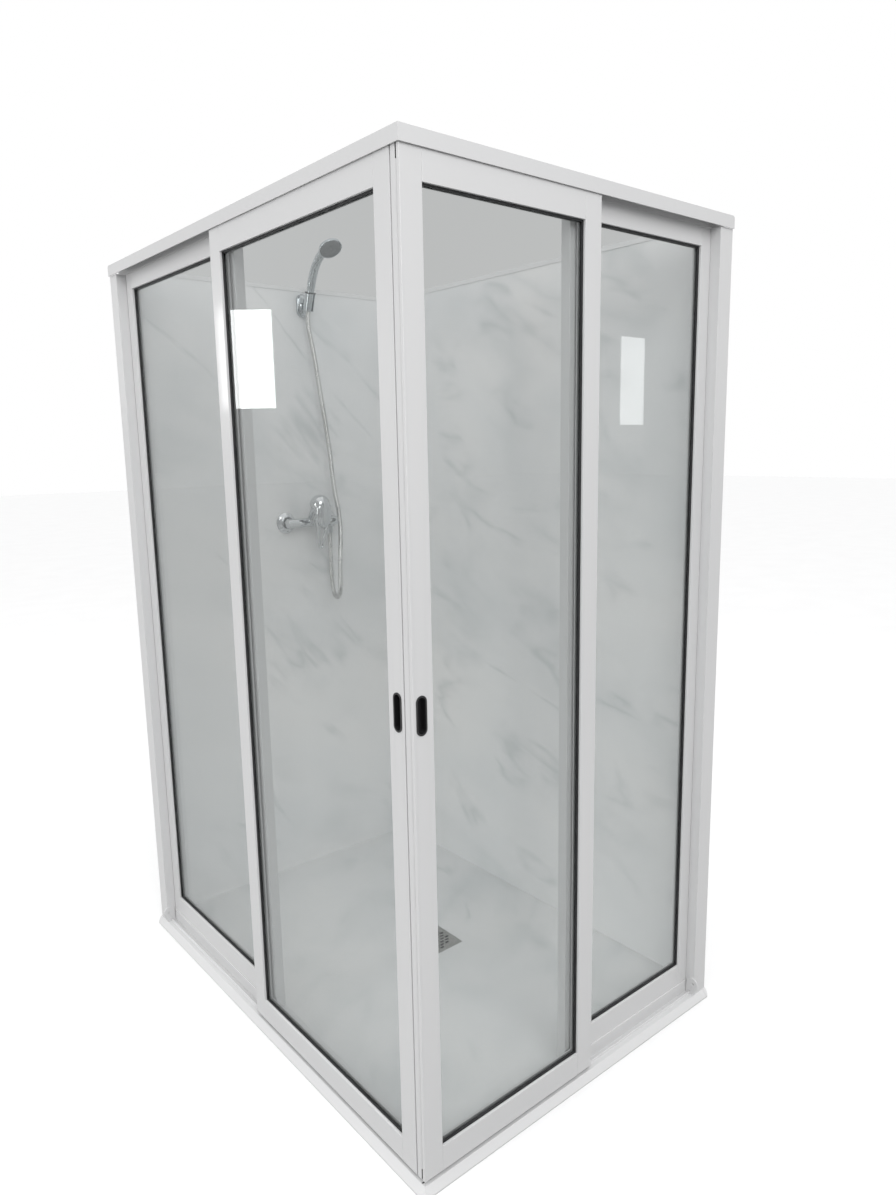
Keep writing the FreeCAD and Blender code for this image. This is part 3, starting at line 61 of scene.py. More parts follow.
# camera of the photograph
CAMERA_PLACE = Vector((-1.27761, -1.72602, 1.37285))
CAMERA_YAW = 39.82
CAMERA_PITCH = -10.01
CAMERA_ROLL = -1.03
CAMERA_LENS = 25.76
CAMERA_SENSOR = 36

# studio, in metres: a soft key light in front of the short face, a soft light beside the long face,
# and two window-like lights that the panes mirror
AIM = Vector((0, 0, 0.95))
KEY_PLACE = Vector((-1.4, -3.3, 3.2))
KEY_SPANS = (2.4, 2.4)
KEY_POWER = 67
SIDE_PLACE = Vector((-4.6, 0.2, 1.7))
SIDE_SPANS = (1.1, 1.9)
SIDE_POWER = 44
LEFT_WINDOW_PLACE = Vector((-3.223, 5.312, 2.153))
LEFT_WINDOW_SPANS = (0.445, 0.835)
LEFT_WINDOW_FACING = Vector((0.591, -0.807, 0))
LEFT_WINDOW_POWER = 9
RIGHT_WINDOW_PLACE = Vector((4.04, -3.628, 1.83))
RIGHT_WINDOW_SPANS = (0.28, 0.64)
RIGHT_WINDOW_FACING = Vector((0, 1, 0))
RIGHT_WINDOW_POWER = 2.2
FLOOR_REACH = 30
# the floor's tones where it is seen, where it lights the object and where the object mirrors it
FLOOR_DARK = (0.93, 0.93, 0.93)
FLOOR_LIGHT = (0.95, 0.95, 0.95)
FLOOR_BOUNCE = (0.25, 0.25, 0.25)
FLOOR_MIRRORED = (0.68, 0.68, 0.68)
# the sky that lights the object, from the horizon to straight above
SKY_STOPS = [(0, (0.75, 0.752, 0.755)), (0.4, (0.84, 0.842, 0.845)), (1, (1.25, 1.25, 1.25))]
# how bright the white backdrop is where it is seen through the panes
BACKDROP_THROUGH_GLASS = 0.7

WHITE = (1, 1, 1)
BLACK = (0, 0, 0)


def row(place):
    """A place counted in millimetres from the front corner, in metres from the object's origin."""
    return CORNER + MM * Vector(place)


# camera, floor and light


def photo_camera():
    """The camera at the photograph's place, heading and lens."""
    yaw, pitch, roll = (math.radians(angle) for angle in (CAMERA_YAW, CAMERA_PITCH, CAMERA_ROLL))
    forward = Vector((math.sin(yaw) * math.cos(pitch), math.cos(yaw) * math.cos(pitch), math.sin(pitch)))
    level = Vector((math.cos(yaw), -math.sin(yaw), 0))
    upright = level.cross(forward)
    right = math.cos(roll) * level + math.sin(roll) * upright
    up = math.cos(roll) * upright - math.sin(roll) * level
    data = bpy.data.cameras.new("photo_camera")
    data.lens = CAMERA_LENS
    data.sensor_width = CAMERA_SENSOR
    camera = bpy.data.objects.new("photo_camera", data)
    bpy.context.scene.collection.objects.link(camera)
    turn = Matrix((right, up, -forward)).transposed().to_4x4()
    camera.matrix_world = Matrix.Translation(CAMERA_PLACE) @ turn
    bpy.context.scene.camera = camera


def area_light(name, at, spans, power, facing):
    """A rectangular light that shines one way and isn't seen itself."""
    data = bpy.data.lights.new(name, "AREA")
    data.shape = "RECTANGLE"
    data.size, data.size_y = spans
    data.energy = power
    light = bpy.data.objects.new(name, data)
    bpy.context.scene.collection.objects.link(light)
    light.location = at
    light.rotation_euler = facing.to_track_quat("-Z", "Y").to_euler()
    light.visible_camera = False


def studio_lights():
    """The key light, the side light and the two window-like lights."""
    area_light("key_light", KEY_PLACE, KEY_SPANS, KEY_POWER, AIM - KEY_PLACE)
    area_light("side_light", SIDE_PLACE, SIDE_SPANS, SIDE_POWER, AIM - SIDE_PLACE)
    area_light("left_window", LEFT_WINDOW_PLACE, LEFT_WINDOW_SPANS, LEFT_WINDOW_POWER, LEFT_WINDOW_FACING)
    area_light("right_window", RIGHT_WINDOW_PLACE, RIGHT_WINDOW_SPANS, RIGHT_WINDOW_POWER,
               RIGHT_WINDOW_FACING)


def studio_world():
    """White behind the object, pale grey behind its panes, and a soft sky for the light."""
    world = bpy.data.worlds.new("studio")
    world.use_nodes = True
    bpy.context.scene.world = world
    tree = world.node_tree
    seen = tree.nodes["Background"]
    seen.inputs["Color"].default_value = (*WHITE, 1)
    ray = tree.nodes.new("ShaderNodeLightPath")
    panes = computed(tree, "MINIMUM", ray.outputs["Transparent Depth"], 1)
    tree.links.new(span(tree, panes, 1, BACKDROP_THROUGH_GLASS), seen.inputs["Strength"])
    light = tree.nodes.new("ShaderNodeBackground")
    light.inputs["Strength"].default_value = 1
    direction = tree.nodes.new("ShaderNodeTexCoord")
    split = tree.nodes.new("ShaderNodeSeparateXYZ")
    tree.links.new(direction.outputs["Generated"], split.inputs[0])
    tree.links.new(ramp(tree, split.outputs["Z"], *SKY_STOPS), light.inputs["Color"])
    choice = tree.nodes.new("ShaderNodeMixShader")
    tree.links.new(ray.outputs["Is Camera Ray"], choice.inputs["Fac"])
    tree.links.new(light.outputs[0], choice.inputs[1])
    tree.links.new(seen.outputs[0], choice.inputs[2])
    tree.links.new(choice.outputs[0], tree.nodes["World Output"].inputs["Surface"])


def studio_floor():
    """A wide pale floor under the tray."""
    mesh = bpy.data.meshes.new("studio_floor")
    corners = [(-FLOOR_REACH, -FLOOR_REACH, 0), (FLOOR_REACH, -FLOOR_REACH, 0),
               (FLOOR_REACH, FLOOR_REACH, 0), (-FLOOR_REACH, FLOOR_REACH, 0)]
    mesh.from_pydata(corners, [], [(0, 1, 2, 3)])
    floor = bpy.data.objects.new("studio_floor", mesh)
    bpy.context.scene.collection.objects.link(floor)
    material, tree, shader = new_finish("pale_floor", Roughness=0.9)
    tint = two_tones(tree, noise(tree, scale=3, Detail=2), FLOOR_DARK, FLOOR_LIGHT)
    ray = tree.nodes.new("ShaderNodeLightPath")
    unseen = blended(tree, ray.outputs["Is Glossy Ray"], FLOOR_BOUNCE, FLOOR_MIRRORED)
    shown = blended(tree, ray.outputs["Is Camera Ray"], unseen, tint)
    tree.links.new(shown, shader.inputs["Base Color"])
    mesh.materials.append(material)


# nodes that the materials share

# where on a pattern's 0 to 1 scale its dark and its light tone are reached
DARK_STOP = 0.3
LIGHT_STOP = 0.7
# the numbers of a colour mix's own sockets
MIX_SHARE = 0
MIX_COLOURS = (6, 7)
MIX_RESULT = 2


def new_finish(name, **sockets):
    """A material with its main shader, whose constant sockets are set by name."""
    material = bpy.data.materials.new(name)
    material.use_nodes = True
    tree = material.node_tree
    shader = tree.nodes["Principled BSDF"]
    for socket, value in sockets.items():
        shader.inputs[socket.replace("_", " ")].default_value = value
    return material, tree, shader


def mapped(tree, **sockets):
    """The object's own coordinates, as a moved, turned and stretched frame sees them."""
    source = tree.nodes.new("ShaderNodeTexCoord")
    mapping = tree.nodes.new("ShaderNodeMapping")
    mapping.vector_type = "TEXTURE"
    for socket, value in sockets.items():
        mapping.inputs[socket].default_value = value
    tree.links.new(source.outputs["Object"], mapping.inputs["Vector"])
    return mapping.outputs["Vector"]


def noise(tree, scale, stretch=(1, 1, 1), turn=(0, 0, 0), **sockets):
    """A noise over the object, from 0 to 1; turned and then stretched, a long pattern runs at a slant."""
    node = tree.nodes.new("ShaderNodeTexNoise")
    node.inputs["Scale"].default_value = scale
    for socket, value in sockets.items():
        node.inputs[socket].default_value = value
    shape = mapped(tree, Scale=[1 / along for along in stretch],
                   Rotation=[math.radians(angle) for angle in turn])
    tree.links.new(shape, node.inputs["Vector"])
    return node.outputs["Fac"]


def ramp(tree, source, *stops):
    """A colour ramp with the given (place, colour) stops."""
    node = tree.nodes.new("ShaderNodeValToRGB")
    elements = node.color_ramp.elements
    while len(elements) < len(stops):
        elements.new(1)
    for element, (place, colour) in zip(elements, stops):
        element.position = place
        element.color = (*colour, 1)
    tree.links.new(source, node.inputs["Fac"])
    return node.outputs["Color"]


def two_tones(tree, pattern, dark, light):
    """A pattern's dark and light tone."""
    return ramp(tree, pattern, (DARK_STOP, dark), (LIGHT_STOP, light))


def span(tree, source, start, end):
    """A 0 to 1 value stretched to run from start to end."""
    node = tree.nodes.new("ShaderNodeMapRange")
    node.inputs["To Min"].default_value = start
    node.inputs["To Max"].default_value = end
    tree.links.new(source, node.inputs["Value"])
    return node.outputs["Result"]


def computed(tree, operation, first, second=0):
    """One step of arithmetic on two values, either of which may be a number."""
    node = tree.nodes.new("ShaderNodeMath")
    node.operation = operation
    for socket, value in zip(node.inputs, (first, second)):
        if isinstance(value, bpy.types.NodeSocket):
            tree.links.new(value, socket)
        else:
            socket.default_value = value
    return node.outputs[0]


def inside(tree, middle, half_spans):
    """1 inside a box of the object's own space and 0 outside it."""
    split = tree.nodes.new("ShaderNodeSeparateXYZ")
    tree.links.new(mapped(tree, Location=middle, Scale=half_spans), split.inputs[0])
    off_x, off_y, off_z = [computed(tree, "ABSOLUTE", split.outputs[axis]) for axis in "XYZ"]
    farthest = computed(tree, "MAXIMUM", computed(tree, "MAXIMUM", off_x, off_y), off_z)
    return computed(tree, "LESS_THAN", farthest, 1)


def blended(tree, share, first, second, how="MIX"):
    """Two colours mixed by a share."""
    node = tree.nodes.new("ShaderNodeMix")
    node.data_type = "RGBA"
    node.blend_type = how
    tree.links.new(share, node.inputs[MIX_SHARE])
    for number, value in zip(MIX_COLOURS, (first, second)):
        if isinstance(value, bpy.types.NodeSocket):
            tree.links.new(value, node.inputs[number])
        else:
            node.inputs[number].default_value = (*value, 1)
    return node.outputs[MIX_RESULT]


def face(tree, shader, tint, roughness, relief, strength, depth):
    """Give a shader its colour, its roughness and a small relief."""
    tree.links.new(tint, shader.inputs["Base Color"])
    tree.links.new(roughness, shader.inputs["Roughness"])
    node = tree.nodes.new("ShaderNodeBump")
    node.inputs["Strength"].default_value = strength
    node.inputs["Distance"].default_value = depth
    tree.links.new(relief, node.inputs["Height"])
    tree.links.new(node.outputs["Normal"], shader.inputs["Normal"])


# materials

# boxes of the seal's groove in the right door's edge, which gets painted shade, and of the tray, which gets
# painted shade and its own veins, in millimetres from the front corner
SEAL_GROOVE_MIDDLE = (2.55, 8.7, 925)
SEAL_GROOVE_HALF = (2.5, 1.55, 925)
TRAY_MIDDLE = (450, 630, 0)
TRAY_HALF = (600, 800, 20.4)
# the room behind a pane that its gasket's grey rear lip lies in, and a reach past a whole pane
BEHIND_PANE = 30
PANE_REACH = 2000

# painted shade: the near-black colour inside the seal's groove stands in for the shade in the narrow groove
GROOVE_PAINTED_SHADE = (0.02, 0.02, 0.02)
BLACK_RUBBER = {"dark": (0.008, 0.008, 0.009), "light": (0.02, 0.02, 0.022)}
REAR_RUBBER = (0.2, 0.203, 0.205)

# what a pane passes to the eye and to the light, and the share that it mirrors, seen straight on
PANE_DARK = (0.827, 0.834, 0.832)
PANE_LIGHT = (0.837, 0.844, 0.842)
PANE_FOR_LIGHT = (0.98, 0.985, 0.983)
PANE_MIRROR = (0.95, 0.97, 0.97)
PANE_MIRRORED_SHARE = 0.04
PANE_STEEPNESS = 5

# marble: tones, and the turns of its patterns in degrees
MARBLE_STOPS = [(0.3, (0.765, 0.778, 0.785)), (0.5, (0.825, 0.83, 0.831)), (0.7, (0.87, 0.866, 0.86))]
SMEAR_TONE = (0.52, 0.55, 0.56)
VEIN_TONE = (0.42, 0.45, 0.46)
TRAY_VEIN_TONE = (0.46, 0.49, 0.5)
# painted shade: the tray's marble is multiplied by this, darkening its upward-facing stone to offset the
# light from above
TRAY_PAINTED_SHADE = (0.88, 0.88, 0.88)
SLANT = (34, 16, 20)
CROSS_SLANT = (44, 24, 50)
TRAY_SLANT = (0, 0, 35)
# a vein's tone a third of the way to its edge, and how much finer than the veins their patches are
VEIN_SHOULDER = (0.55, 0.55, 0.55)
PATCH_FINENESS = 1.7


def powder_coat(name):
    """White gloss paint on aluminium, with a fine orange peel; the seal's groove is painted near-black as
    painted shade.
    """
    material, tree, shader = new_finish(name, Coat_Weight=0.35, Coat_Roughness=0.08)
    tint = two_tones(tree, noise(tree, scale=1.4, Detail=1), (0.64, 0.641, 0.645), (0.66, 0.66, 0.662))
    # painted shade: inside the groove's box the paint turns near-black
    groove = inside(tree, row(SEAL_GROOVE_MIDDLE), MM * Vector(SEAL_GROOVE_HALF))
    sheen = span(tree, noise(tree, scale=5, Detail=2), 0.26, 0.32)
    peel = noise(tree, scale=420, Detail=1)
    face(tree, shader, blended(tree, groove, tint, GROOVE_PAINTED_SHADE), sheen, peel, strength=0.015, depth=0.0003)
    return material


def satin_trim(name):
    """Satin white aluminium with faint drawing lines along the profile."""
    material, tree, shader = new_finish(name)
    tint = two_tones(tree, noise(tree, scale=5, Detail=2), (0.74, 0.74, 0.745), (0.79, 0.79, 0.79))
    sheen = span(tree, noise(tree, scale=60, stretch=(1, 1, 0.02), Detail=2), 0.3, 0.45)
    lines = noise(tree, scale=300, stretch=(1, 1, 0.01))
    face(tree, shader, tint, sheen, lines, strength=0.05, depth=0.0003)
    return material


def clear_glass(name):
    """Clear pane: it tints and passes what is behind it, and mirrors more at a glancing angle."""
    material = bpy.data.materials.new(name)
    material.use_nodes = True
    tree = material.node_tree
    tree.nodes.remove(tree.nodes["Principled BSDF"])
    through = tree.nodes.new("ShaderNodeBsdfTransparent")
    tint = two_tones(tree, noise(tree, scale=2, stretch=(1, 1, 0.6), Detail=3), PANE_DARK, PANE_LIGHT)
    ray = tree.nodes.new("ShaderNodeLightPath")
    light = computed(tree, "MAXIMUM", ray.outputs["Is Shadow Ray"], ray.outputs["Is Diffuse Ray"])
    tree.links.new(blended(tree, light, tint, PANE_FOR_LIGHT), through.inputs["Color"])
    mirror = tree.nodes.new("ShaderNodeBsdfGlossy")
    mirror.inputs["Color"].default_value = (*PANE_MIRROR, 1)
    tree.links.new(span(tree, noise(tree, scale=9, Detail=3), 0, 0.008), mirror.inputs["Roughness"])
    facing = tree.nodes.new("ShaderNodeLayerWeight")
    facing.inputs["Blend"].default_value = 0.5
    steep = computed(tree, "POWER", facing.outputs["Facing"], PANE_STEEPNESS)
    mix = tree.nodes.new("ShaderNodeMixShader")
    tree.links.new(span(tree, steep, PANE_MIRRORED_SHARE, 1), mix.inputs["Fac"])
    tree.links.new(through.outputs[0], mix.inputs[1])
    tree.links.new(mirror.outputs[0], mix.inputs[2])
    tree.links.new(mix.outputs[0], tree.nodes["Material Output"].inputs["Surface"])
    return material


def rubber(name, dark, light, rear=None):
    """Soft rubber with a matt, slightly grainy face; it is paler inside the rear box, if there is one."""
    material, tree, shader = new_finish(name)
    tint = two_tones(tree, noise(tree, scale=30, Detail=3), dark, light)
    if rear:
        tint = blended(tree, inside(tree, *rear), tint, REAR_RUBBER)
    sheen = span(tree, noise(tree, scale=90, Detail=2), 0.45, 0.7)
    grain = noise(tree, scale=1200, Detail=2)
    face(tree, shader, tint, sheen, grain, strength=0.15, depth=0.0002)
    return material


def pane_gasket(pane):
    """The gasket of one pane: black in front of the glass and grey behind it."""
    thin = 0 if pane.endswith("left") else 1
    low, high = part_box(pane + "_glass")
    middle = (low + high) / 2
    middle[thin] += MM * BEHIND_PANE / 2
    half_spans = MM * Vector((PANE_REACH, PANE_REACH, PANE_REACH))
    half_spans[thin] = MM * BEHIND_PANE / 2
    return rubber(pane + "_rubber", rear=(middle, half_spans), **BLACK_RUBBER)


def moulded(name, dark, light, rough):
    """Moulded plastic with a faint texture."""
    material, tree, shader = new_finish(name)
    tint = two_tones(tree, noise(tree, scale=12, Detail=2), dark, light)
    sheen = span(tree, noise(tree, scale=60, Detail=2), *rough)
    grain = noise(tree, scale=900, Detail=2)
    face(tree, shader, tint, sheen, grain, strength=0.08, depth=0.0002)
    return material


def marble(name):
    """White-grey marble effect: soft bluish clouds with short curved veins that come and go; on the tray,
    painted shade darkens it and veins run across.
    """
    material, tree, shader = new_finish(name, Specular_IOR_Level=0.4)
    clouds = noise(tree, scale=2.3, stretch=(0.7, 0.8, 1.3), turn=SLANT,
                   Detail=4, Roughness=0.5, Distortion=0.4)
    wide = veins(tree, scale=2.3, stretch=(0.4, 0.6, 2.1), turn=SLANT,
                 width=0.09, patch_edges=(0.44, 0.62), strength=0.26)
    fine = veins(tree, scale=3.1, stretch=(0.4, 0.55, 2.3), turn=CROSS_SLANT,
                 width=0.04, patch_edges=(0.48, 0.62), strength=0.36)
    smeared = blended(tree, wide, ramp(tree, clouds, *MARBLE_STOPS), SMEAR_TONE)
    veined = blended(tree, fine, smeared, VEIN_TONE)
    tray = inside(tree, row(TRAY_MIDDLE), MM * Vector(TRAY_HALF))
    across = veins(tree, scale=2.6, stretch=(0.5, 1.7, 1), turn=TRAY_SLANT,
                   width=0.1, patch_edges=(0.4, 0.6), strength=0.3)
    # painted shade: the tray's upward-facing marble is darkened to offset the light from above
    tray_with_painted_shade = blended(tree, tray, veined, TRAY_PAINTED_SHADE, "MULTIPLY")
    smoky = blended(tree, computed(tree, "MULTIPLY", tray, across), tray_with_painted_shade, TRAY_VEIN_TONE)
    sheen = span(tree, clouds, 0.26, 0.38)
    face(tree, shader, smoky, sheen, noise(tree, scale=120, Detail=2), strength=0.02, depth=0.0005)
    return material


def veins(tree, scale, stretch, turn, width, patch_edges, strength):
    """How much vein there is at a place: thin bent lines, kept only in some patches."""
    line = noise(tree, scale, stretch, turn, Detail=3, Roughness=0.45, Distortion=0.35)
    away = computed(tree, "ABSOLUTE", computed(tree, "SUBTRACT", line, 0.5))
    thin = ramp(tree, away, (0, WHITE), (width / 3, VEIN_SHOULDER), (width, BLACK))
    patches = noise(tree, PATCH_FINENESS * scale, turn=turn, Detail=2)
    bare, full = patch_edges
    patch = ramp(tree, patches, (bare, BLACK), (full, WHITE))
    return computed(tree, "MULTIPLY", computed(tree, "MULTIPLY", thin, patch), strength)


def brushed_steel(name):
    """Stainless steel brushed one way."""
    material, tree, shader = new_finish(name, Metallic=1, Anisotropic=0.5)
    lines = noise(tree, scale=30, stretch=(1, 60, 1), Detail=3)
    tint = two_tones(tree, lines, (0.33, 0.33, 0.32), (0.46, 0.46, 0.44))
    face(tree, shader, tint, span(tree, lines, 0.28, 0.46), lines, strength=0.12, depth=0.0002)
    return material


def chrome(name, dark, light, rough, coat=0):
    """Polished chrome with faint smears."""
    material, tree, shader = new_finish(name, Metallic=1, Coat_Weight=coat, Coat_Roughness=0.04)
    smears = noise(tree, scale=22, stretch=(1, 1, 0.5), Detail=4)
    tint = two_tones(tree, smears, dark, light)
    ripple = noise(tree, scale=160, Detail=2)
    face(tree, shader, tint, span(tree, smears, *rough), ripple, strength=0.02, depth=0.0002)
    return material


FINISHES = {
    "white_frame": powder_coat("white_frame"),
    "glass": clear_glass("glass"),
    "gasket": rubber("gasket", **BLACK_RUBBER),
    "seal": rubber("seal", dark=(0.6, 0.6, 0.605), light=(0.65, 0.65, 0.65)),
    "handle": moulded("handle", dark=(0.008, 0.008, 0.009), light=(0.014, 0.014, 0.015), rough=(0.3, 0.42)),
    "panel": marble("panel"),
    "trim": satin_trim("trim"),
    "steel": brushed_steel("steel"),
    "chrome": chrome("chrome", dark=(0.6, 0.62, 0.63), light=(0.72, 0.73, 0.74), rough=(0.05, 0.13)),
    "chrome_plastic": chrome("chrome_plastic", dark=(0.43, 0.46, 0.48), light=(0.53, 0.56, 0.57),
                             rough=(0.13, 0.2), coat=1),
    "spray_face": moulded("spray_face", dark=(0.19, 0.2, 0.205), light=(0.25, 0.26, 0.265),
                          rough=(0.45, 0.6)),
    "hose": chrome("hose", dark=(0.56, 0.56, 0.55), light=(0.66, 0.66, 0.65), rough=(0.22, 0.32)),
    "grey_plastic": moulded("grey_plastic", dark=(0.03, 0.03, 0.031), light=(0.045, 0.045, 0.046),
                            rough=(0.45, 0.6)),
    "nylon": moulded("nylon", dark=(0.6, 0.6, 0.57), light=(0.68, 0.68, 0.65), rough=(0.4, 0.55)),
}

# width of the softened edges of each finish, in millimetres
EDGE_WIDTHS = {
    "white_frame": 0.8,
    "gasket": 0.25,
    "handle": 0.9,
    "panel": 0.8,
    "trim": 0.3,
    "steel": 0.4,
    "chrome": 0.8,
    "chrome_plastic": 0.8,
    "grey_plastic": 0.5,
    "nylon": 0.5,
}
EDGE_SEGMENTS = 2
EDGE_ANGLE = math.radians(40)
# this panel keeps its sharp edges: softened, they draw a line between its inlet holes
SHARP_NODE = "wall_panel_mixer"
WELD_REACH = 0.01


def dress_nodes():
    """Give each CAD node its finish and soften its edges."""
    for piece in frame["record"]["subparts"]:
        node = frame["nodes"][piece["node"]]
        pane, is_gasket, _ = piece["node"].partition("_gasket")
        finish = pane_gasket(pane) if is_gasket else FINISHES[piece["material_slot"]]
        for holder in node.material_slots:
            holder.material = finish
        width = EDGE_WIDTHS.get(piece["material_slot"])
        if width and piece["node"] != SHARP_NODE:
            soften_edges(node, width)


def soften_edges(piece, width):
    """Round a piece's sharp edges a little, so that they catch the light."""
    weld = piece.modifiers.new("weld", "WELD")
    weld.merge_threshold = WELD_REACH * MM
    bevel = piece.modifiers.new("edges", "BEVEL")
    bevel.width = width * MM
    bevel.segments = EDGE_SEGMENTS
    bevel.limit_method = "ANGLE"
    bevel.angle_limit = EDGE_ANGLE
    bevel.miter_outer = "MITER_ARC"
    piece.modifiers.new("shading", "WEIGHTED_NORMAL")


# forms that the pieces share

HEXAGON_STEP = math.radians(60)


def as_object(name, mesh):
    """An object made from a bmesh."""
    data = bpy.data.meshes.new(name)
    mesh.to_mesh(data)
    mesh.free()
    piece = bpy.data.objects.new(name, data)
    bpy.context.scene.collection.objects.link(piece)
    return piece


def settle(piece):
    """Turn a piece's modifiers into its mesh."""
    bpy.context.view_layer.update()
    shaped = piece.evaluated_get(bpy.context.evaluated_depsgraph_get())
    rough = piece.data
    piece.data = bpy.data.meshes.new_from_object(shaped)
    piece.modifiers.clear()
    bpy.data.meshes.remove(rough)


def joined(mesh, first, second):
    """Smooth faces between two rings of as many points."""
    for side in range(len(first)):
        after = (side + 1) % len(first)
        mesh.faces.new((first[side], first[after], second[after], second[side])).smooth = True


def turned(mesh, at, axis, profile, sides, hexagon=False, closed=False):
    """A turned form on an axis, from (reach, radius) pairs; a hexagon's flats cut into its larger rings."""
    across = axis.orthogonal().normalized()
    over = axis.cross(across)
    rings = []
    for reach, radius in profile:
        ring = []
        for side in range(sides):
            turn = 2 * math.pi * side / sides
            limit = radius
            if hexagon:
                off_flat = (turn % HEXAGON_STEP) - HEXAGON_STEP / 2
                limit = min(radius, hexagon / math.cos(off_flat))
            out = math.cos(turn) * across + math.sin(turn) * over
            ring.append(mesh.verts.new(at + axis * reach + limit * out))
        rings.append(ring)
    pairs = list(zip(rings, rings[1:]))
    if closed:
        pairs.append((rings[-1], rings[0]))
    else:
        mesh.faces.new(list(reversed(rings[0])))
        mesh.faces.new(rings[-1])
    for first, second in pairs:
        joined(mesh, first, second)


def scaled(profile):
    """A profile written in millimetres, in metres."""
    return [(reach * MM, radius * MM) for reach, radius in profile]


# shower fittings

# how the holder leans, how the hand shower's handle bends and how its head nods, in degrees
HOLDER_LEAN = 18
HANDLE_BEND = 50
HEAD_NOD = 77
HOLDER_TILT = math.radians(HOLDER_LEAN)
FACE_LEAN = math.radians(HOLDER_LEAN + HANDLE_BEND + HEAD_NOD)

# swellings of the bracket and of the lever, in millimetres from the front corner
BRACKET_SHIELD_PLACE = (562, 1244, 1799)
BRACKET_SHIELD_SPANS = (16.5, 15, 32.5)
LEVER_SHIELD_PLACE = (548, 1142.5, 1179)
LEVER_SHIELD_SPANS = (25, 10, 44)

# profiles along the axis and out from it, in millimetres
COVER_PROFILE = [
    (0, 31), (0.9, 32), (2.2, 31.7), (3.6, 30.2), (5.4, 27.4), (7.4, 24.2), (9.2, 21.9), (10.8, 20.7),
    (11.7, 19.8), (12, 18.6), (11.6, 16.6), (10.4, 15.2), (4.2, 14.6), (4, 11.5), (0, 11.5),
]
COVER_RADIUS = 32
COVER_SIDES = 72
# the ring sits at the top of the cradle's leaning axis
CRADLE_RING_PLACE = (562, 1188.45, 1826.36)
CRADLE_RING_PROFILE = [(0.2, 12.7), (0.2, 16), (0.7, 16.6), (1.9, 16.6), (2.5, 16), (2.8, 14.4), (2.8, 12.7)]
UNION_SIDES = 72
NUT_FLATS = 12.3
NUT_CHAMFER = 1.3
NUT_LENGTH = 15
STEM_RADIUS = 11.3
STUB_RADIUS = 10.5
STUB_LENGTH = 25
FACE_PROFILE = [
    (-2, 30.4), (0.9, 30.4), (1.7, 29.8), (2, 28.8), (2, 27.6), (1.5, 27), (1.5, 26.4), (2, 25.8),
    (2, 9.6), (1.5, 9), (1.5, 8.4), (2.1, 7.6), (2.4, 5), (2.5, 1),
]
FACE_SIDES = 96
# each ring's radius in millimetres and its count of nozzles
NOZZLE_RINGS = [(5.2, 5), (12.4, 12), (17, 18), (21.6, 24)]
NOZZLE_PROFILE = [(1.6, 1), (2.2, 1), (2.9, 0.75), (3.1, 0.45)]
NOZZLE_SIDES = 12


def swelling(mesh, place, spans, wall=None):
    """A smooth egg-shaped swelling, cut flat where it would enter the wall."""
    matrix = Matrix.Translation(row(place)) @ Matrix.Diagonal((*(MM * Vector(spans)), 1))
    made = bmesh.ops.create_uvsphere(mesh, u_segments=48, v_segments=32, radius=1, matrix=matrix)
    if wall is not None:
        for vertex in made["verts"]:
            vertex.co.y = min(vertex.co.y, wall)


def melted(name, body, slot, node, grain, rounds, swellings=()):
    """One smooth casting made from a CAD node: its sharp inner corners become fillets."""
    mesh = bmesh.new()
    mesh.from_mesh(frame["nodes"][node].data)
    bmesh.ops.remove_doubles(mesh, verts=mesh.verts, dist=WELD_REACH * MM)
    for form in swellings:
        swelling(mesh, *form)
    piece = as_object(name, mesh)
    remesh = piece.modifiers.new("casting", "REMESH")
    remesh.mode = "VOXEL"
    remesh.voxel_size = grain * MM
    remesh.use_smooth_shade = True
    smooth = piece.modifiers.new("fillets", "SMOOTH")
    smooth.iterations = rounds
    settle(piece)
    piece.data.materials.clear()
    piece.data.materials.append(FINISHES[slot])
    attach(piece, body)
    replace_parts(piece, node)


def fitting(name, body, slot, mesh):
    """A finished bmesh as a piece that rides on a body."""
    bmesh.ops.recalc_face_normals(mesh, faces=mesh.faces)
    piece = as_object(name, mesh)
    piece.data.materials.append(FINISHES[slot])
    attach(piece, body)
    return piece


def wall_covers():
    """The two rounded covers over the unions at the wall."""
    low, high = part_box("mixer_escutcheons")
    mesh = bmesh.new()
    for x in (low.x + COVER_RADIUS * MM, high.x - COVER_RADIUS * MM):
        at = Vector((x, high.y, (low.z + high.z) / 2))
        turned(mesh, at, Vector((0, -1, 0)), scaled(COVER_PROFILE), COVER_SIDES, closed=True)
    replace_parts(fitting("wall_covers", "enclosure", "chrome", mesh), "mixer_escutcheons")


def union_nuts():
    """The two unions: hexagon nuts with chamfered corners on round stems."""
    low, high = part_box("mixer_unions")
    length = (high.y - low.y) / MM
    radius = (high.z - low.z) / 2 / MM
    profile = [(0, NUT_FLATS), (NUT_CHAMFER, radius), (NUT_LENGTH - NUT_CHAMFER, radius),
               (NUT_LENGTH, NUT_FLATS), (NUT_LENGTH, STEM_RADIUS), (length - STUB_LENGTH, STEM_RADIUS),
               (length - STUB_LENGTH, STUB_RADIUS), (length, STUB_RADIUS)]
    mesh = bmesh.new()
    for x in (low.x + radius * MM, high.x - radius * MM):
        at = Vector((x, low.y, (low.z + high.z) / 2))
        turned(mesh, at, Vector((0, 1, 0)), scaled(profile), UNION_SIDES, hexagon=NUT_FLATS * MM)
    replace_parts(fitting("union_nuts", "enclosure", "chrome", mesh), "mixer_unions")


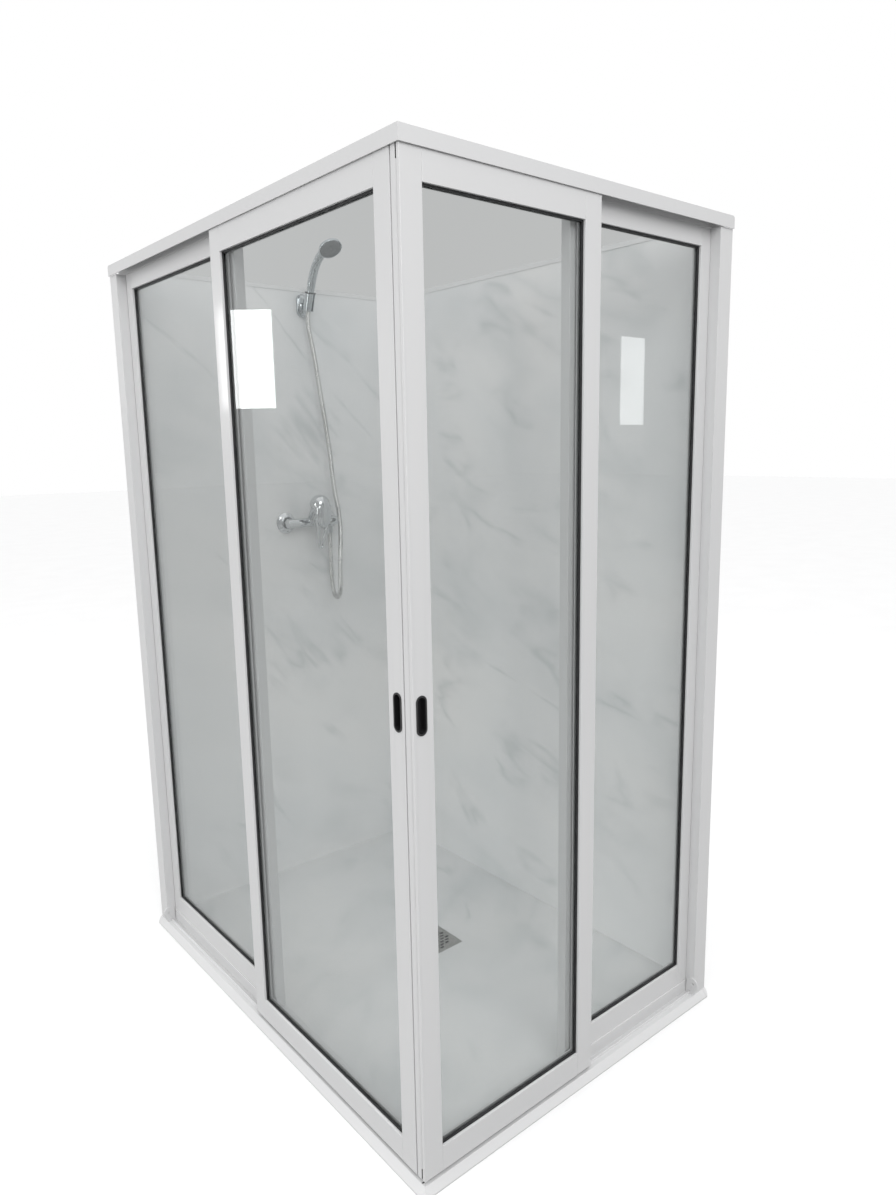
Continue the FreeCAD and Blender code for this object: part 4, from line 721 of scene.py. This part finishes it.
def spray_face():
    """The grey face of the hand shower, with ridges and rings of small nozzles."""
    low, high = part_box("hand_shower_spray")
    middle = (low + high) / 2
    axis = Vector((0, -math.sin(FACE_LEAN), math.cos(FACE_LEAN)))
    across = axis.orthogonal().normalized()
    over = axis.cross(across)
    mesh = bmesh.new()
    turned(mesh, middle, axis, scaled(FACE_PROFILE), FACE_SIDES)
    for reach, count in NOZZLE_RINGS:
        for number in range(count):
            turn = 2 * math.pi * number / count
            at = middle + reach * MM * (math.cos(turn) * across + math.sin(turn) * over)
            turned(mesh, at, axis, scaled(NOZZLE_PROFILE), NOZZLE_SIDES)
    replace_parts(fitting("spray_nozzles", "hand_shower_holder", "spray_face", mesh), "hand_shower_spray")


def cradle_ring():
    """The dark ring on top of the cradle, under the hand shower's foot."""
    lean = Vector((0, -math.sin(HOLDER_TILT), math.cos(HOLDER_TILT)))
    mesh = bmesh.new()
    turned(mesh, row(CRADLE_RING_PLACE), lean, scaled(CRADLE_RING_PROFILE), COVER_SIDES, closed=True)
    fitting("cradle_ring", "hand_shower_holder", "gasket", mesh)


def shower_fittings():
    """The castings and turned pieces of the mixer and the hand shower."""
    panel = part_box("bracket_plate")[1].y
    melted("handset_casting", "hand_shower_holder", "chrome_plastic", "hand_shower", grain=0.8, rounds=8)
    melted("cradle_moulding", "hand_shower_holder", "chrome_plastic", "bracket_cradle", grain=0.6, rounds=3)
    melted("bracket_moulding", "enclosure", "chrome_plastic", "bracket_plate", grain=0.6, rounds=3,
           swellings=[(BRACKET_SHIELD_PLACE, BRACKET_SHIELD_SPANS, panel)])
    melted("mixer_casting", "enclosure", "chrome", "mixer_body", grain=0.9, rounds=4)
    melted("lever_casting", "mixer_lever", "chrome", "mixer_lever", grain=0.6, rounds=4,
           swellings=[(LEVER_SHIELD_PLACE, LEVER_SHIELD_SPANS)])
    wall_covers()
    union_nuts()
    spray_face()
    cradle_ring()


# hose, in millimetres, its ends counted from the front corner and its route from its ends

HOSE_START = Vector((604, 1203, 1113.2))
HOSE_END = Vector((562, 1204.0, 1778.5))
HOSE_TOP_RUN = 34
HOSE_FROM_MIXER = [
    (0, 0, -74),
    (2, 1, -198),
    (-28, -92, -198),
    (-28, -95, -98),
    (26, -27, 33),
    (14, -13, 132),
]
HOSE_FROM_HOLDER = [
    (51, -4, -398),
    (32, -1, -258),
    (10, -1, -108),
    (0, math.sin(HOLDER_TILT) * HOSE_TOP_RUN, -math.cos(HOLDER_TILT) * HOSE_TOP_RUN),
]
HOSE_RADIUS = 7
HOSE_RIB_PITCH = 2
HOSE_RIB_DEPTH = 0.25
HOSE_SIDES = 16
HOSE_STEPS = 330


def spline_points(places):
    """The smooth line that a NURBS spline draws with these places as its control points."""
    data = bpy.data.curves.new("route", "CURVE")
    data.dimensions = "3D"
    spline = data.splines.new("NURBS")
    spline.points.add(len(places) - 1)
    for point, place in zip(spline.points, places):
        point.co = (*place, 1)
    spline.order_u = 3
    spline.use_endpoint_u = True
    spline.resolution_u = HOSE_STEPS
    route = bpy.data.objects.new("route", data)
    line = bpy.data.meshes.new_from_object(route)
    points = [vertex.co.copy() for vertex in line.vertices]
    bpy.data.objects.remove(route)
    bpy.data.curves.remove(data)
    bpy.data.meshes.remove(line)
    return points


def ribbed_tube(name, points, radius, pitch, depth, sides):
    """A tube with fine ribs that follows the points, closed at both ends."""
    mesh = bmesh.new()
    turns = [2 * math.pi * side / sides for side in range(sides)]
    rings = []
    travelled = 0
    across = None
    for index, point in enumerate(points):
        ahead = points[min(index + 1, len(points) - 1)]
        behind = points[max(index - 1, 0)]
        along = (ahead - behind).normalized()
        if index:
            travelled += (point - behind).length
        if across is None:
            across = along.orthogonal()
        across = (across - along * across.dot(along)).normalized()
        over = along.cross(across)
        wave = (1 - math.cos(2 * math.pi * travelled / pitch)) / 2
        reach = radius - depth * wave
        rings.append([mesh.verts.new(point + reach * (math.cos(turn) * across + math.sin(turn) * over))
                      for turn in turns])
    for first, second in zip(rings, rings[1:]):
        joined(mesh, first, second)
    mesh.faces.new(list(reversed(rings[0])))
    mesh.faces.new(rings[-1])
    return as_object(name, mesh)


def hose():
    """The shower hose from the mixer's outlet down its loop and up to the holder."""
    places = [HOSE_START]
    places += [HOSE_START + Vector(step) for step in HOSE_FROM_MIXER]
    places += [HOSE_END + Vector(step) for step in HOSE_FROM_HOLDER]
    places.append(HOSE_END)
    points = spline_points([row(place) for place in places])
    piece = ribbed_tube("ribbed_hose", points, HOSE_RADIUS * MM, HOSE_RIB_PITCH * MM, HOSE_RIB_DEPTH * MM,
                        HOSE_SIDES)
    piece.data.materials.append(FINISHES["hose"])
    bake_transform(piece)
    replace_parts(piece, "shower_hose")


bpy.context.scene.view_settings.view_transform = "Standard"
photo_camera()
studio_world()
studio_floor()
studio_lights()
dress_nodes()
hose()
shower_fittings()
